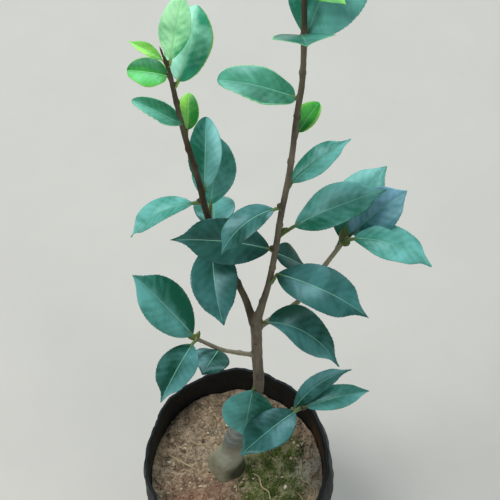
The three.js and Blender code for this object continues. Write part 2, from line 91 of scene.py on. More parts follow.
# Leaves: stem, distance along it, stalk length, turn of the stalk, bearing and rise of the blade,
# droop along it, length, width, keel fold, roll and sweep; then the name of its finish.
LEAVES = {
    "a": ("left", 277, 5, -55, 66, 66, 20, 42, 20, 20, 0, 5, "mint"),
    "b": ("left", 256, 5.5, -48, 60, 50, 10, 46, 29, 12, 0, 18, "soft_teal"),
    "c": ("left", 280, 3, 0, 163, 34, 20, 22, 9, 20, 0, 0, "lime"),
    "d": ("left", 266, 2, 0, 177, 17, 15, 24, 23, 10, 0, 0, "grass"),
    "e": ("left", 220, 5, 110, 167, 29, 20, 34, 17, 20, 0, -10, "green"),
    "f": ("left", 206, 4, -60, 88, 51, 20, 23.5, 15, 20, 0, 0, "lime"),
    "h": ("left", 131, 8, 0, -163, 14, 80, 54, 22, 20, 5, 0, "pale_teal"),
    "i1": ("left", 141, 4, -40, 89, 37, 15, 49, 26, 30, 0, 0, "light_teal"),
    "i2": ("left", 113, 10, 0, 76, 48, 16, 52, 32, 20, 0, 24, "pale_teal"),
    "i3": ("left", 96, 6, 0, 92, -10, 25, 50, 31, 15, 0, 0, "blue_teal"),
    "l": ("left", 97, 8, 0, -93, -7, 25, 60, 33, 15, 0, 22, "blue_deep"),
    "k": ("right", 88, 5, 0, -172, 32, 25, 73, 33, 15, -25, 0, "deep"),
    "j": ("right", 138.5, 6, 0, -158, 10, 70, 50, 22, 15, 0, 25, "teal"),
    "m": ("right", 76, 8, 80, 10, -42, 5, 33, 24, 15, 5, 0, "deep"),
    "n": ("right", 53, 16, -12, -28, 20, 48, 74, 37, 12, 0, 0, "blue_deep"),
    "o": ("trunk", 263, 9, 0, -8, 11, 48, 66, 36, 36, -26, -44, "teal"),
    "p": ("right", 162, 4, 0, 28, 35, 20, 48, 20, 15, 0, 0, "pale_teal"),
    "q": ("right", 106, 14, 0, 11, 34, 25, 68, 34, 15, 0, 0, "light_teal"),
    "r": ("side", 134.5, 9, 0, 25, 44, 20, 49, 33, 15, 22, 0, "sky_teal"),
    "s": ("side", 139.5, 12, -50, -6, 12, 42, 58, 29, 15, 0, -24, "pale_teal"),
    "t": ("side", 125.5, 8, 0, 66, 46, 20, 60, 34, 15, 0, -32, "pale_teal"),
    "u": ("right", 253, 3, 0, 180, 28, 20, 48, 29, 15, 0, 0, "green"),
    "v": ("right", 216, 4, -20, 50, 38, 20, 22, 18, 34, 0, 0, "grass"),
    "w": ("right", 305, 7, -30, -86, 43, 15, 34, 35, 12, 0, 0, "sea_green"),
    "x": ("right", 298, 5, 0, 44, 70, 40, 74, 52, 12, 0, 0, "pale_teal"),
    "y": ("right", 339, 4, 0, -44, 21, 15, 26, 15, 20, 0, 0, "lime"),
    "z1": ("right", 350, 5, 0, 150, 35, 20, 42, 22, 15, 0, 0, "sea_green"),
    "z2": ("right", 361, 5, 0, 50, 45, 20, 44, 23, 15, 0, 0, "soft_teal"),
    "z3": ("right", 370, 4, 0, -160, 62, 15, 34, 16, 20, 0, 0, "grass"),
    "z4": ("right", 376, 4, 0, -20, 66, 15, 32, 15, 20, 0, 0, "mint"),
    "A": ("lowleft", 61, 3.5, 0, 150, 51, 20, 67, 40, 12, 0, 0, "blue_teal"),
    "B": ("lowleft", 60, 6, 0, -116, 6, 25, 52, 30, 20, 0, 0, "teal"),
    "C": ("lowleft", 33, 2, 0, -113, 28, 20, 31, 29, 12, 0, 0, "dull"),
    "D": ("lowright", 62, 2, 0, 44, 45, 25, 62, 18, 15, 0, -42, "teal"),
    "E": ("lowright", 71, 4, 0, 8, 24, 20, 55, 24, 20, 0, 0, "blue_teal"),
    "F": ("lowright", 70, 11, 13, -138, 17, 29, 62, 34, 12, 0, 0, "blue_deep"),
    "G": ("trunk", 160, 7, -32, -108, -56, 8, 46, 44, 4, -20, 0, "blue_teal"),
}
# Finishes of the young leaves.
YOUNG = ("mint", "lime", "grass", "soft_teal")
# Stalks that rise at another angle than their blade.
STALK_LIFT = {"n": 65, "s": 50, "G": -20, "m": -5, "F": 40}
# Degrees that a blade twists along its length, and blades that are widest nearer to the stalk.
TWIST = {"o": 86}
EARLY = {"o": 0.66}
# Leaves with a drawn-out tip, rounded leaves and blunt ones.
TIPS = {
    **dict.fromkeys("kqsnpoDBhj", "drawn"), **dict.fromkeys(("e", "f", "v", "b", "i1"), "round"),
    **dict.fromkeys("du", "blunt"),
}
# Leaves whose edge is bitten or ragged: side of the leaf, from where, how deep.
DAMAGE = {"d": (-1, 0.88, 0.14), "e": (1, 0.35, 0.16), "u": (1, 0.45, 0.08)}
# Leaves with a light edge, and those where it is wide.
LIGHT_EDGE = ("d", "e", "u", "w", "f", "b", "v")
WIDE_LIGHT_EDGE = ("v",)
# Which half of a leaf gets the painted sheen of gloss turned to the sky: 1 the left, -1 the right, and less
# where it shows less.
PAINTED_SHEEN_SIDE = {
    "b": 1, "d": 1, "e": 0.7, "i1": -1, "h": -0.5, "j": -0.4, "k": 0.2, "l": -0.5, "n": 0.6, "o": -0.6,
    "p": -0.8, "q": 0.4, "r": 0.5, "s": 0.4, "A": 1, "B": 1, "C": -0.6, "D": 0.7, "E": -0.4, "F": 0.3,
    "G": -1,
}
# Buds at the tips: limb, distance, bearing, rise, length, radius, and 0 for green or 1 for brown.
TIP_BUDS = [
    ("right", 379, 120, 78, 12, 2.2, 0), ("left", 287, 150, 75, 7, 0.7, 1),
    ("side", 134.5, 80, 70, 14, 3.4, 0), ("side", 134.5, -50, 45, 10, 2.8, 0),
    ("lowleft", 60, 175, 30, 9, 2.4, 0), ("lowleft", 59, 60, 50, 7, 1.9, 0),
    ("lowright", 70, -20, 45, 8, 2.4, 1),
]
# Larger buds in some leaf axils: length, radius, and 0 for green or 1 for brown.
AXIL_BUDS = {"q": (8, 2.3, 0), "j": (5, 2.1, 1), "k": (5.5, 2.2, 1), "h": (4.5, 1.8, 1)}
LIMB_NODES = ("trunk", "right_leader", "left_leader", "right_side_shoot", "low_left_shoot", "low_right_shoot")
# Pieces that leaves are joined into: their keys, the CAD nodes that the piece stands for, and its slot.
LEAF_PIECES = {
    "right_leaves": (
        ("n", "m", "k", "q", "j", "p", "v", "u", "x", "w", "y", "z1", "z2", "z3", "z4", "o"),
        ("right_leaf_base", "right_leaf_under", "right_leaf_long", "right_leaf_branch", "right_leaf_crook",
         "right_leaf_mid", "right_leaf_cup", "right_leaf_wide", "right_leaf_back", "right_leaf_front",
         "right_tip_spray", "fork_leaf"), "leaf"),
    "left_leaves": (
        ("e", "h", "i1", "i2", "i3", "l"),
        ("left_leaf_torn", "left_leaf_out", "left_leaf_folded", "left_leaf_tall",
         "left_leaf_hanging", "left_leaf_front"), "leaf"),
    "left_young_leaves": (("a", "b", "c", "d", "f"), ("left_tip_spray", "left_leaf_fresh"), "young_leaf"),
    "low_and_side_leaves": (
        ("A", "B", "C", "D", "E", "F", "G", "r", "s", "t"),
        ("low_left_spray", "low_left_leaf", "low_right_spray", "low_trunk_leaf", "side_tip_spray"), "leaf"),
}
# The graft tape: where it runs along the trunk, the rise of one turn, and how far it stands off the bark.
TAPE_FROM, TAPE_TO, TAPE_TURN, TAPE_STAND_OFF = 65, 92, 7.5, 1.15
TAPE_SIDES, TAPE_ROWS, TAPE_THICKNESS = 72, 46, 0.0006
# Over how many mm the surfaces of limbs that meet run into one another, and their tones.
SURFACE_BLEND, TONE_BLEND = 0.9, 1.2

# The pot, as in the source.
POT_HEIGHT, POT_HALF_WIDTH, POT_HALF_DEPTH = 165, 80, 86
POT_TAPER, POT_BELLY, POT_WALL, MIDDLE_X, MIDDLE_Y = 0.055, 0.018, 2.2, -2.5, 6
FLARE_RIGHT, FLARE_LEFT = 5.5, 2.2
SOIL_LEVEL, SOIL_MOUND, SOIL_LUMP = 130, 3, 1.5
STUMP_X, STUMP_Y = LIMBS["trunk"][0][:2]
# Loose crumbs and moss lie no nearer to the middle of the stump than this.
STUMP_CLEAR = 18.5
# Low cushions of moss: x, y, radius.
MOSS = [(16, 12, 22), (36, 14, 24), (20, -10, 26), (42, -12, 24), (26, -34, 24), (44, 31, 18)]
# Where the red clay lies: x, y.
CLAY = (-36, -46)
# Places with a look of their own, in metres: the centre, the whole look within, and none of it beyond.
# Painted light on the left of the stump and painted shade at its front right, then a soil stain inside the
# film and greyer soil.
PAINTED_LIGHT_ON_STUMP = (-0.011, -0.005, 0.166), 0.005, 0.022
PAINTED_SHADE_ON_STUMP = (0.004, 0.003, 0.138), 0.012, 0.02
STAINED_FILM = (0.08, 0.012, 0.142), 0.016, 0.046
GREY_SOIL = (0.062, 0.012, 0.13), 0.008, 0.03
# Pale chips on the soil: x, y, size.
CHIPS = [
    (-8, 80, 2.0), (-12, 53, 2.1), (42, -9, 2.6), (-65, 15, 1.8), (-30, 46, 1.5), (58, 34, 1.3),
    (-48, -44, 1.9), (14, -62, 1.7),
]
# Straws and rootlets on the soil: thickness, then points x, y and height over the soil.
LITTER = [
    (0.75, [(-67, 24, 0.6), (-57, 17, 1.6), (-46, 10, 1.8), (-35, 4, 0.7)]),
    (0.7, [(12, 4, 0.2), (18, -1, 1.6), (20, -10, 1.2), (26, -15, 1.8), (28, -22, 0.9)]),
    (0.6, [(57, 20, 0.3), (57, 9, 1.4), (55, 1, 0.6)]),
    (0.6, [(57, -4, 0.4), (63, -6, 1.7), (68, -12, 1.4), (68, -22, 0.4)]),
    (0.5, [(-37, 74, 0.4), (-30, 69, 1.4), (-22, 68, 0.5)]),
    (0.5, [(-47, 38, 0.3), (-40, 33, 1.5), (-33, 33, 1.1), (-29, 29, 0.4)]),
    (0.45, [(-28, 62, 0.4), (-23, 57, 1.2), (-24, 50, 0.4)]),
    (0.5, [(52, -14, 0.3), (57, -20, 1.3), (60, -30, 0.6)]),
    (0.6, [(-40, -58, 0.4), (-28, -62, 1.5), (-14, -60, 1.2), (-4, -66, 0.4)]),
    (0.5, [(34, 55, 0.4), (42, 50, 1.4), (50, 52, 0.4)]),
]


def smooth(a, b, x):
    """0 at a, 1 at b, and an even curve between."""
    t = np.clip((np.asarray(x, float) - a) / (b - a), 0, 1)
    return t * t * (3 - 2 * t)


def unit(v):
    """The direction of a vector."""
    return v / np.linalg.norm(v)


def sampled(places, run, table):
    """The four columns of a table, read off at places along its run."""
    return np.stack([np.interp(places, run, table[:, c]) for c in range(4)], -1)


def directions(points):
    """Unit vectors along a line of points."""
    ahead = np.gradient(points, axis=0)
    return ahead / np.linalg.norm(ahead, axis=1)[:, None]


def around(angle, radius, z):
    """Points round an axis, from their angle, radius and height."""
    return np.stack([radius * np.cos(angle), radius * np.sin(angle), z], -1)


def smooth_line(stations, steps=24):
    """Points x, y, z, radius on a smooth line through the stations, and the running length at each."""
    p = np.array(stations, float)
    p = np.vstack([2 * p[0] - p[1], p, 2 * p[-1] - p[-2]])
    t = (np.arange(steps) / steps)[:, None]
    rows = []
    for a, b, d, e in zip(p, p[1:], p[2:], p[3:]):
        rows.append(0.5 * (
            2 * b + (d - a) * t + (2 * a - 5 * b + 4 * d - e) * t**2 + (3 * b - a - 3 * d + e) * t**3))
    points = np.vstack([*rows, p[-2:-1]])
    run = np.concatenate([[0], np.cumsum(np.linalg.norm(np.diff(points[:, :3], axis=0), axis=1))])
    return points, run


LINES = {name: smooth_line(stations) for name, stations in LIMBS.items()}


def on_limb(limb, distance):
    """x, y, z, radius at a distance along a limb."""
    points, run = LINES[limb]
    return sampled(distance, run, points)


def heading(bearing, rise):
    """Unit vector from degrees round from +X and degrees above level."""
    b, e = np.radians(bearing), np.radians(rise)
    return np.array([np.cos(e) * np.cos(b), np.cos(e) * np.sin(b), np.sin(e)])


def ripple(points, size, seed=0.0):
    """Smooth noise from -1 to 1 at points in mm, with bumps of about size mm."""
    shift = Vector((seed * 3.1, seed * 1.7, seed * 2.3))
    return np.array([noise.noise(Vector(p) / size + shift) for p in points])


# Making and finishing pieces


def deselect():
    for obj in list(bpy.context.selected_objects):
        obj.select_set(False)


def make_active(obj):
    deselect()
    obj.select_set(True)
    bpy.context.view_layer.objects.active = obj


def edit(obj):
    """Opens a piece in edit mode with all of it selected."""
    make_active(obj)
    bpy.ops.object.mode_set(mode="EDIT")
    bpy.ops.mesh.select_all(action="SELECT")


def back_to_object():
    bpy.ops.object.mode_set(mode="OBJECT")


def apply_modifier(obj, kind, **settings):
    """Puts a modifier of a kind on a piece and applies it at once."""
    make_active(obj)
    modifier = obj.modifiers.new(kind.title(), kind)
    for key, value in settings.items():
        setattr(modifier, key, value)
    bpy.ops.object.modifier_apply(modifier=modifier.name)


def read(items, what):
    """Three numbers for each vertex or face, as rows of an array."""
    out = np.empty(len(items) * 3, np.float32)
    items.foreach_get(what, out)
    return out.reshape(-1, 3).astype(float)


def corners(obj):
    """The vertices of a piece as an array in mm."""
    return read(obj.data.vertices, "co") / MM


def set_corners(obj, points):
    obj.data.vertices.foreach_set("co", (points * MM).astype(np.float32).ravel())
    obj.data.update()


def paint(obj, name, values):
    """Stores a number for each vertex, which a finish can read."""
    obj.data.attributes.new(name, "FLOAT", "POINT").data.foreach_set("value", values.astype(np.float32))


def seat(obj, slot, *nodes):
    """Hangs a finished piece on the plant's one body and hides the parts that it stands for."""
    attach(obj, "root")
    if nodes:
        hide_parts(*nodes)


def dress(obj, finish, slot, *nodes):
    """Gives a shaped piece its finish and seats it."""
    obj.data.materials.clear()
    obj.data.materials.append(finish)
    obj.data.polygons.foreach_set("use_smooth", np.ones(len(obj.data.polygons), bool))
    seat(obj, slot, *nodes)


def joined_mesh(name, parts, finishes):
    """One piece from parts: (points in mm, (faces, finish numbers), ...), the faces of a pair equal-sided."""
    starts = np.cumsum([0, *(len(points) for points, *_ in parts)])
    groups = list(zip(*(faces for _, *faces in parts)))
    polygons = [
        np.concatenate([faces + start for (faces, _), start in zip(group, starts)]) for group in groups
    ]
    which = np.concatenate([np.broadcast_to(tone, len(faces)) for group in groups for faces, tone in group])
    sides = np.concatenate([np.full(len(p), p.shape[1]) for p in polygons])
    mesh = bpy.data.meshes.new(name)
    points = np.vstack([points for points, *_ in parts])
    mesh.vertices.add(len(points))
    mesh.vertices.foreach_set("co", (points * MM).astype(np.float32).ravel())
    mesh.loops.add(sides.sum())
    mesh.loops.foreach_set("vertex_index", np.concatenate([p.ravel() for p in polygons]).astype(np.int32))
    mesh.polygons.add(len(sides))
    mesh.polygons.foreach_set("loop_start", (np.cumsum(sides) - sides).astype(np.int32))
    for finish in finishes:
        mesh.materials.append(finish)
    mesh.polygons.foreach_set("material_index", which.astype(np.int32))
    mesh.polygons.foreach_set("use_smooth", np.ones(len(sides), bool))
    mesh.update(calc_edges=True)
    mesh.validate()
    obj = bpy.data.objects.new(name, mesh)
    bpy.context.scene.collection.objects.link(obj)
    return obj


def pulled_sleeve(name, sides, rows):
    """A ring of edges pulled up once for each row, with the angle and the row number of each vertex."""
    deselect()
    bpy.ops.mesh.primitive_circle_add(vertices=sides, radius=1, fill_type="NOTHING", location=(0, 0, 0))
    obj = bpy.context.object
    obj.name = name
    edit(obj)
    for _ in range(rows - 1):
        bpy.ops.mesh.extrude_region_move(TRANSFORM_OT_translate={"value": (0, 0, 1)})
    back_to_object()
    co = read(obj.data.vertices, "co")
    return obj, np.arctan2(co[:, 1], co[:, 0]), co[:, 2]


def close_ring(obj, picked):
    """Fills the ring of vertices that picked marks with one face."""
    make_active(obj)
    for items, values in ((obj.data.polygons, False), (obj.data.edges, False), (obj.data.vertices, picked)):
        items.foreach_set("select", np.broadcast_to(values, len(items)))
    bpy.ops.object.mode_set(mode="EDIT")
    bpy.ops.mesh.select_mode(type="VERT")
    bpy.ops.mesh.edge_face_add()
    back_to_object()


def outward(obj):
    """Turns the faces of a piece to look outward."""
    edit(obj)
    bpy.ops.mesh.normals_make_consistent(inside=False)
    back_to_object()


def carried(side, ahead):
    """A direction carried along a line, square to each of the line's own directions."""
    sides = []
    for direction in ahead:
        side = unit(side - direction * (side @ direction))
        sides.append(side)
    return np.array(sides)


def tube_part(line, sides, tone):
    """A round tube along points x, y, z, radius, closed at both ends, as a part for joined_mesh."""
    line = np.asarray(line, float)
    ahead = directions(line[:, :3])
    side = np.cross(ahead[0], [0.0, 0.0, 1.0])
    if np.linalg.norm(side) < 0.1:
        side = np.array([1.0, 0, 0])
    side = carried(side, ahead)
    over = np.cross(ahead, side)
    turn = np.linspace(0, 2 * np.pi, sides, endpoint=False)[None, :, None]
    ring = np.cos(turn) * side[:, None] + np.sin(turn) * over[:, None]
    rings = line[:, None, :3] + line[:, None, 3:] * ring
    points = np.vstack([rings.reshape(-1, 3), line[:1, :3], line[-1:, :3]])
    grid = np.arange(len(line) * sides).reshape(len(line), sides)
    nxt = np.roll(grid, -1, axis=1)
    quads = np.stack([grid[:-1], nxt[:-1], nxt[1:], grid[1:]], -1).reshape(-1, 4)
    foot, head = (np.full(sides, len(points) - back) for back in (2, 1))
    tris = np.concatenate([np.stack([foot, nxt[0], grid[0]], -1), np.stack([head, grid[-1], nxt[-1]], -1)])
    return points, (quads, tone), (tris, tone)


# Finishes


def shade_of(colour, factor):
    """A colour made lighter or darker."""
    return tuple(min(1.0, c * factor) for c in colour)


class Finish:
    """A material under construction, with short calls for the nodes that these finishes share."""

    def __init__(self, name, colour, roughness, specular=0.5, coat=0.0, coat_roughness=0.3, gleam=PLAIN):
        self.material = bpy.data.materials.new(name)
        self.material.use_nodes = True
        self.tree = self.material.node_tree
        self.shader = self.tree.nodes["Principled BSDF"]
        self.fill(self.shader, {
            "Base Color": (*colour, 1), "Roughness": roughness, "Specular IOR Level": specular,
            "Specular Tint": (*gleam, 1), "Coat Weight": coat, "Coat Roughness": coat_roughness,
        })

    def fill(self, node, inputs):
        """Sets a node's inputs, each to a value or to another node's output."""
        for key, value in inputs.items():
            if isinstance(value, bpy.types.NodeSocket):
                self.tree.links.new(value, node.inputs[key])
            else:
                node.inputs[key].default_value = value

    def node(self, kind, output, inputs=None, **settings):
        """Adds a node and hands over one of its outputs."""
        node = self.tree.nodes.new("ShaderNode" + kind)
        for key, value in settings.items():
            setattr(node, key, value)
        self.fill(node, inputs or {})
        return node.outputs[output]

    def place(self, stretch, turn=(0, 0, 0)):
        """Object coordinates, stretched and turned, so that a pattern sits on the piece."""
        on_piece = self.node("TexCoord", "Object")
        return self.node("Mapping", "Vector", {"Vector": on_piece, "Scale": stretch, "Rotation": turn})

    def noise(self, scale, stretch=PLAIN, detail=5, roughness=0.6, distortion=0.0, turn=(0, 0, 0)):
        return self.node("TexNoise", "Fac", {
            "Vector": self.place(stretch, turn), "Scale": scale, "Detail": detail, "Roughness": roughness,
            "Distortion": distortion,
        })

    def cells(self, scale, stretch=PLAIN):
        return self.node("TexVoronoi", "Distance", {"Vector": self.place(stretch), "Scale": scale})

    def near(self, centre, inner, outer):
        """1 within inner metres of a place on the piece, fading to 0 at outer."""
        on_piece = self.node("TexCoord", "Object")
        apart = self.node("VectorMath", "Value", {0: on_piece, 1: centre}, operation="DISTANCE")
        return self.remap(apart, inner, outer, 1, 0)

    def height(self):
        """Object Z, for what changes up the piece."""
        return self.node("SeparateXYZ", "Z", {"Vector": self.node("TexCoord", "Object")})

    def attribute(self, name):
        return self.node("Attribute", "Fac", attribute_name=name)

    def remap(self, value, low, high, out_low=0.0, out_high=1.0):
        return self.node("MapRange", "Result", {
            "Value": value, "From Min": low, "From Max": high, "To Min": out_low, "To Max": out_high,
        })

    def times(self, first, *others):
        """The product of numbers."""
        for other in others:
            first = self.node("Math", "Value", {0: first, 1: other}, operation="MULTIPLY")
        return first

    def plus(self, a, b):
        return self.node("Math", "Value", {0: a, 1: b}, operation="ADD")

    def mix(self, factor, a, b):
        """Mixes two colours, each three numbers or another node's output."""
        a, b = (value if isinstance(value, bpy.types.NodeSocket) else (*value, 1) for value in (a, b))
        return self.node("Mix", 2, {"Factor": factor, 6: a, 7: b}, data_type="RGBA")

    def layered(self, tone, layers):
        """Lays colours over a tone, each to its own share."""
        for share, colour in layers:
            tone = self.mix(share, tone, colour)
        return tone

    def mottle(self, pattern, colour, dark, light, low=0.3, high=0.7):
        """A colour that runs with a pattern from dark to light times itself."""
        return self.mix(self.remap(pattern, low, high), shade_of(colour, dark), shade_of(colour, light))

    def done(self, tone, height=None, distance=0.0, strength=1.0, roughness=None):
        """Wires the colour and, where given, the bump and the roughness, and hands over the material."""
        self.fill(self.shader, {"Base Color": tone})
        if roughness:
            self.fill(self.shader, {"Roughness": roughness})
        if height:
            bump = self.node("Bump", "Normal", {"Strength": strength, "Distance": distance, "Height": height})
            self.fill(self.shader, {"Normal": bump})
        return self.material


# How much gloss and painted sheen a leaf's finish gets: 1 on full-grown leaves, 0 on young ones, and in
# between on the dark ones.
GLOSS_AND_PAINTED_SHEEN = {"deep": 0.4, "blue_deep": 0.6, **dict.fromkeys(YOUNG, 0)}
# The blue-grey of the painted sheen, the sky mirrored in a leaf's gloss, that is mixed into its green.
PAINTED_SHEEN_COLOUR = srgb(152, 200, 220)
# How much of each colour is left in painted shade, where there is no painted sheen, and the tint of a leaf's
# gloss.
PAINTED_SHADE_SHARE, LEAF_GLOSS = (0.08, 0.38, 0.25), (0.5, 0.88, 0.95)


def blade_finish(name, colour, grown):
    """Upper face of a leaf: its green runs from painted shade to a paler blue-grey painted sheen of mirrored
    sky, in slow clouds, with a fine grain.
    """
    finish = Finish(name, colour, 0.4, coat=0.06 + 0.06 * grown, coat_roughness=0.2, gleam=LEAF_GLOSS)
    slow = finish.noise(40, detail=4, distortion=0.5)
    fine = finish.noise(420, detail=3)
    # dark is the leaf's colour in painted shade, pale its colour under the painted sheen of mirrored sky.
    dark = tuple(d * c for d, c in zip(PAINTED_SHADE_SHARE, colour))
    pale = tuple((1.4 - 0.2 * grown) * c + (0.04 + 0.18 * grown) * b for c, b in zip(colour, PAINTED_SHEEN_COLOUR))
    # How much painted sheen: the blade's own painted sheen, plus clouds of painted sheen and painted shade
    # from a slow noise.
    cloud = finish.plus(finish.attribute("bloom"), finish.remap(slow, 0.3, 0.7, -0.42, 0.42))
    rough = finish.remap(fine, 0.3, 0.7, 0.31, 0.43)
    return finish.done(finish.mix(cloud, dark, pale), fine, 0.00012, 0.35, rough)


# Plain grained finishes: roughness, gloss, then scale, detail and roughness of the grain,
# the darkest and the lightest share of the colour, and depth and strength of the bump.
GRAINS = {
    "underside": (0.6, 0.35, 300, 4, 0.6, 0.85, 1.12, 0.0002, 0.4),
    "rib": (0.5, 0.3, 260, 3, 0.6, 0.85, 1.1, 0.0001, 0.3),
    "grit": (0.92, 0.2, 520, 5, 0.7, 0.65, 1.35, 0.0006, 0.8),
    "chip": (0.92, 0.2, 520, 5, 0.7, 0.65, 1.15, 0.0006, 0.8),
}


def grained_finish(kind, name, colour):
    """One tone of a leaf's underside, of a midrib or leaf edge, or of loose crumb, chip or straw."""
    rough, gloss, scale, detail, harsh, dark, light, distance, strength = GRAINS[kind]
    finish = Finish(name, colour, rough, gloss)
    grain = finish.noise(scale, detail=detail, roughness=harsh)
    return finish.done(finish.mottle(grain, colour, dark, light), grain, distance, strength)


def stalk_finish(name, colour, tip):
    """Leaf stalks and buds, green with a brown blush."""
    finish = Finish(name, colour, 0.45, 0.45)
    grain = finish.noise(160, detail=4)
    return finish.done(finish.mix(finish.remap(grain, 0.35, 0.7), colour, tip), grain, 0.00015, 0.4)


def bark_finish(settings):
    """Bark of all limbs: long shallow furrows, pale pores, and tones that follow the limb's age."""
    base, pale = settings.bark_colour, settings.pale_colour
    finish = Finish("camellia bark", base, 0.78, 0.3)
    streak = finish.noise(150, (1, 1, 0.22), detail=7, roughness=0.65, distortion=0.4)
    patch = finish.noise(38, (1, 1, 0.5), detail=5)
    pore = finish.cells(420, (1, 1, 0.6))
    mossy = finish.attribute("mossy")
    layers = (
        (finish.attribute("olive"), finish.mottle(streak, settings.olive_colour, 0.6, 1.4)),
        (finish.attribute("pale"), finish.mottle(streak, pale, 0.7, 1.2)),
        (finish.times(finish.remap(patch, 0.5, 0.72), 0.35), shade_of(pale, 1.1)),
        # The stump: a pale green film, with painted light on its left side and painted shade at its front
        # right.
        (finish.times(mossy, finish.remap(patch, 0.3, 0.6, 0.25, 0.95)), settings.algae_colour),
        (finish.times(finish.near(*PAINTED_LIGHT_ON_STUMP), mossy, 0.75), srgb(206, 208, 184)),
        (finish.times(finish.near(*PAINTED_SHADE_ON_STUMP), mossy, 0.85), srgb(50, 60, 36)),
        (finish.times(finish.remap(pore, 0.12, 0.02), 0.4), srgb(178, 168, 140)),
        (finish.attribute("scar"), srgb(42, 34, 26)),
    )
    tone = finish.layered(finish.mottle(streak, base, 0.5, 1.5, 0.32, 0.68), layers)
    return finish.done(tone, streak, 0.0007, 0.8, finish.remap(patch, 0.3, 0.7, 0.66, 0.88))


def film_finish(settings):
    """Soft black film: low sheen, fine creases, dust outside and a soil stain inside."""
    base = settings.film_colour
    finish = Finish("pot film", base, 0.5, 0.25)
    crease = finish.noise(60, (1, 1, 0.35), detail=8, roughness=0.7, distortion=0.8)
    fine = finish.noise(500, detail=4)
    dust = finish.noise(26, detail=6, roughness=0.7)
    low = finish.remap(finish.height(), 0.0, 0.11, 1, 0.12)
    stain = finish.times(finish.near(*STAINED_FILM), finish.remap(dust, 0.4, 0.56), 0.9)
    tone = finish.layered(base, (
        (finish.times(finish.remap(dust, 0.48, 0.72), low, 0.4), settings.dust_colour),
        (finish.times(finish.attribute("inside"), stain), settings.stain_colour),
        (finish.times(finish.remap(crease, 0.62, 0.72), 0.2), srgb(64, 76, 88)),
    ))
    relief = finish.plus(crease, finish.times(fine, 0.15))
    return finish.done(tone, relief, 0.0012, 0.7, finish.remap(dust, 0.3, 0.7, 0.48, 0.66))


def soil_finish(settings):
    """Crumbly brown soil, redder at the front left, greyer and mossy at the right."""
    base = settings.soil_colour
    finish = Finish("potting soil", base, 0.93, 0.2)
    grain = finish.noise(340, detail=8, roughness=0.7)
    patch = finish.noise(42, detail=6, roughness=0.6, distortion=0.6)
    clod = finish.noise(130, detail=3, distortion=0.4)
    clay = finish.near((CLAY[0] * MM, CLAY[1] * MM, 0.13), 0.02, 0.062)
    layers = [
        (finish.times(finish.remap(patch, 0.46, 0.66), 0.6), settings.tan_colour),
        (finish.times(clay, finish.remap(patch, 0.3, 0.52)), settings.clay_colour),
        # Clods: some lighter, and painted shade in the crevices between them.
        (finish.times(finish.remap(clod, 0.52, 0.64), 0.6), shade_of(base, 1.9)),
        (finish.times(finish.remap(clod, 0.46, 0.36), 0.75), shade_of(base, 0.3)),
        (finish.times(finish.near(*GREY_SOIL), finish.remap(patch, 0.3, 0.55)), srgb(168, 164, 146)),
    ]
    for x, y, r in MOSS:
        near = finish.near((x * MM, y * MM, 0.13), 0.5 * r * MM, 1.05 * r * MM)
        layers.append((finish.times(near, finish.remap(grain, 0.36, 0.56), 0.8), settings.moss_colour))
    tone = finish.layered(finish.mottle(grain, base, 0.4, 1.6), layers)
    return finish.done(tone, finish.plus(grain, finish.cells(260)), 0.0022, 0.9)


def tape_finish(settings):
    """Stretched grafting tape: cloudy grey, semi-gloss, with stretch lines round the stem."""
    finish = Finish("graft tape", settings.tape_colour, 0.3, coat=0.25, coat_roughness=0.15)
    stretch = finish.noise(90, (1, 1, 5), detail=5, distortion=0.3, turn=(0.15, 0.1, 0))
    cloud = finish.noise(120, detail=5)
    rough = finish.remap(cloud, 0.3, 0.7, 0.26, 0.4)
    return finish.done(finish.mottle(cloud, settings.tape_colour, 0.75, 1.25), stretch, 0.0001, 0.3, rough)


# Limbs and bark


def limb_tube(name, points):
    """A path through a limb's points with its radii, turned into a mesh."""
    deselect()
    bpy.ops.curve.primitive_nurbs_path_add(location=(0, 0, 0))
    path = bpy.context.object
    path.name = name
    shape = path.data
    shape.splines.clear()
    spline = shape.splines.new("POLY")
    spline.points.add(len(points) - 1)
    for point, (x, y, z, r) in zip(spline.points, points):
        point.co = (x * MM, y * MM, z * MM, 1)
        point.radius = r
    shape.bevel_depth, shape.bevel_resolution = MM, 6
    shape.use_fill_caps, shape.dimensions = True, "3D"
    bpy.ops.object.convert(target="MESH")
    return bpy.context.object


class LimbField:
    """How far points lie from one limb's surface, where along it and on which side."""

    def __init__(self, name, spacing=1.2):
        points, run = LINES[name]
        self.run = np.linspace(0, run[-1], max(4, int(run[-1] / spacing)))
        self.at = sampled(self.run, run, points)
        self.ahead = directions(self.at[:, :3])
        self.slope = np.gradient(self.at[:, 3], self.run)
        self.side = carried(np.array([1.0, 0, 0]), self.ahead)
        self.over = np.cross(self.ahead, self.side)

    def measure(self, points, batch=20000):
        """Distance from the surface, place along the limb, and angle round it."""
        nearest = np.empty(len(points), int)
        axis = self.at[:, :3].astype(np.float32)
        own = (axis**2).sum(1)
        for i in range(0, len(points), batch):
            part = points[i:i + batch].astype(np.float32)
            nearest[i:i + batch] = np.argmin(own[None] - 2 * part @ axis.T, axis=1)
        off = points - self.at[nearest, :3]
        along = (off * self.ahead[nearest]).sum(1)
        reach = np.where((nearest > 0) & (nearest < len(self.run) - 1), along, 0)
        across = off - reach[:, None] * self.ahead[nearest]
        radius = self.at[nearest, 3] + self.slope[nearest] * reach
        angle = np.arctan2((across * self.over[nearest]).sum(1), (across * self.side[nearest]).sum(1))
        return np.linalg.norm(across, axis=1) - radius, self.run[nearest] + reach, angle


def leaf_root(key):
    """Where a leaf's stalk leaves its stem: point on the surface, the stem's direction and the way out."""
    stem, along, _, turn, bearing, rise = LEAVES[key][:6]
    middle = on_limb(stem, along)
    way = heading(bearing + turn, STALK_LIFT.get(key, rise))
    line = unit(on_limb(stem, along + 2)[:3] - on_limb(stem, along - 2)[:3])
    out = unit(way - line * (way @ line))
    return middle[:3] + out * middle[3], line, out


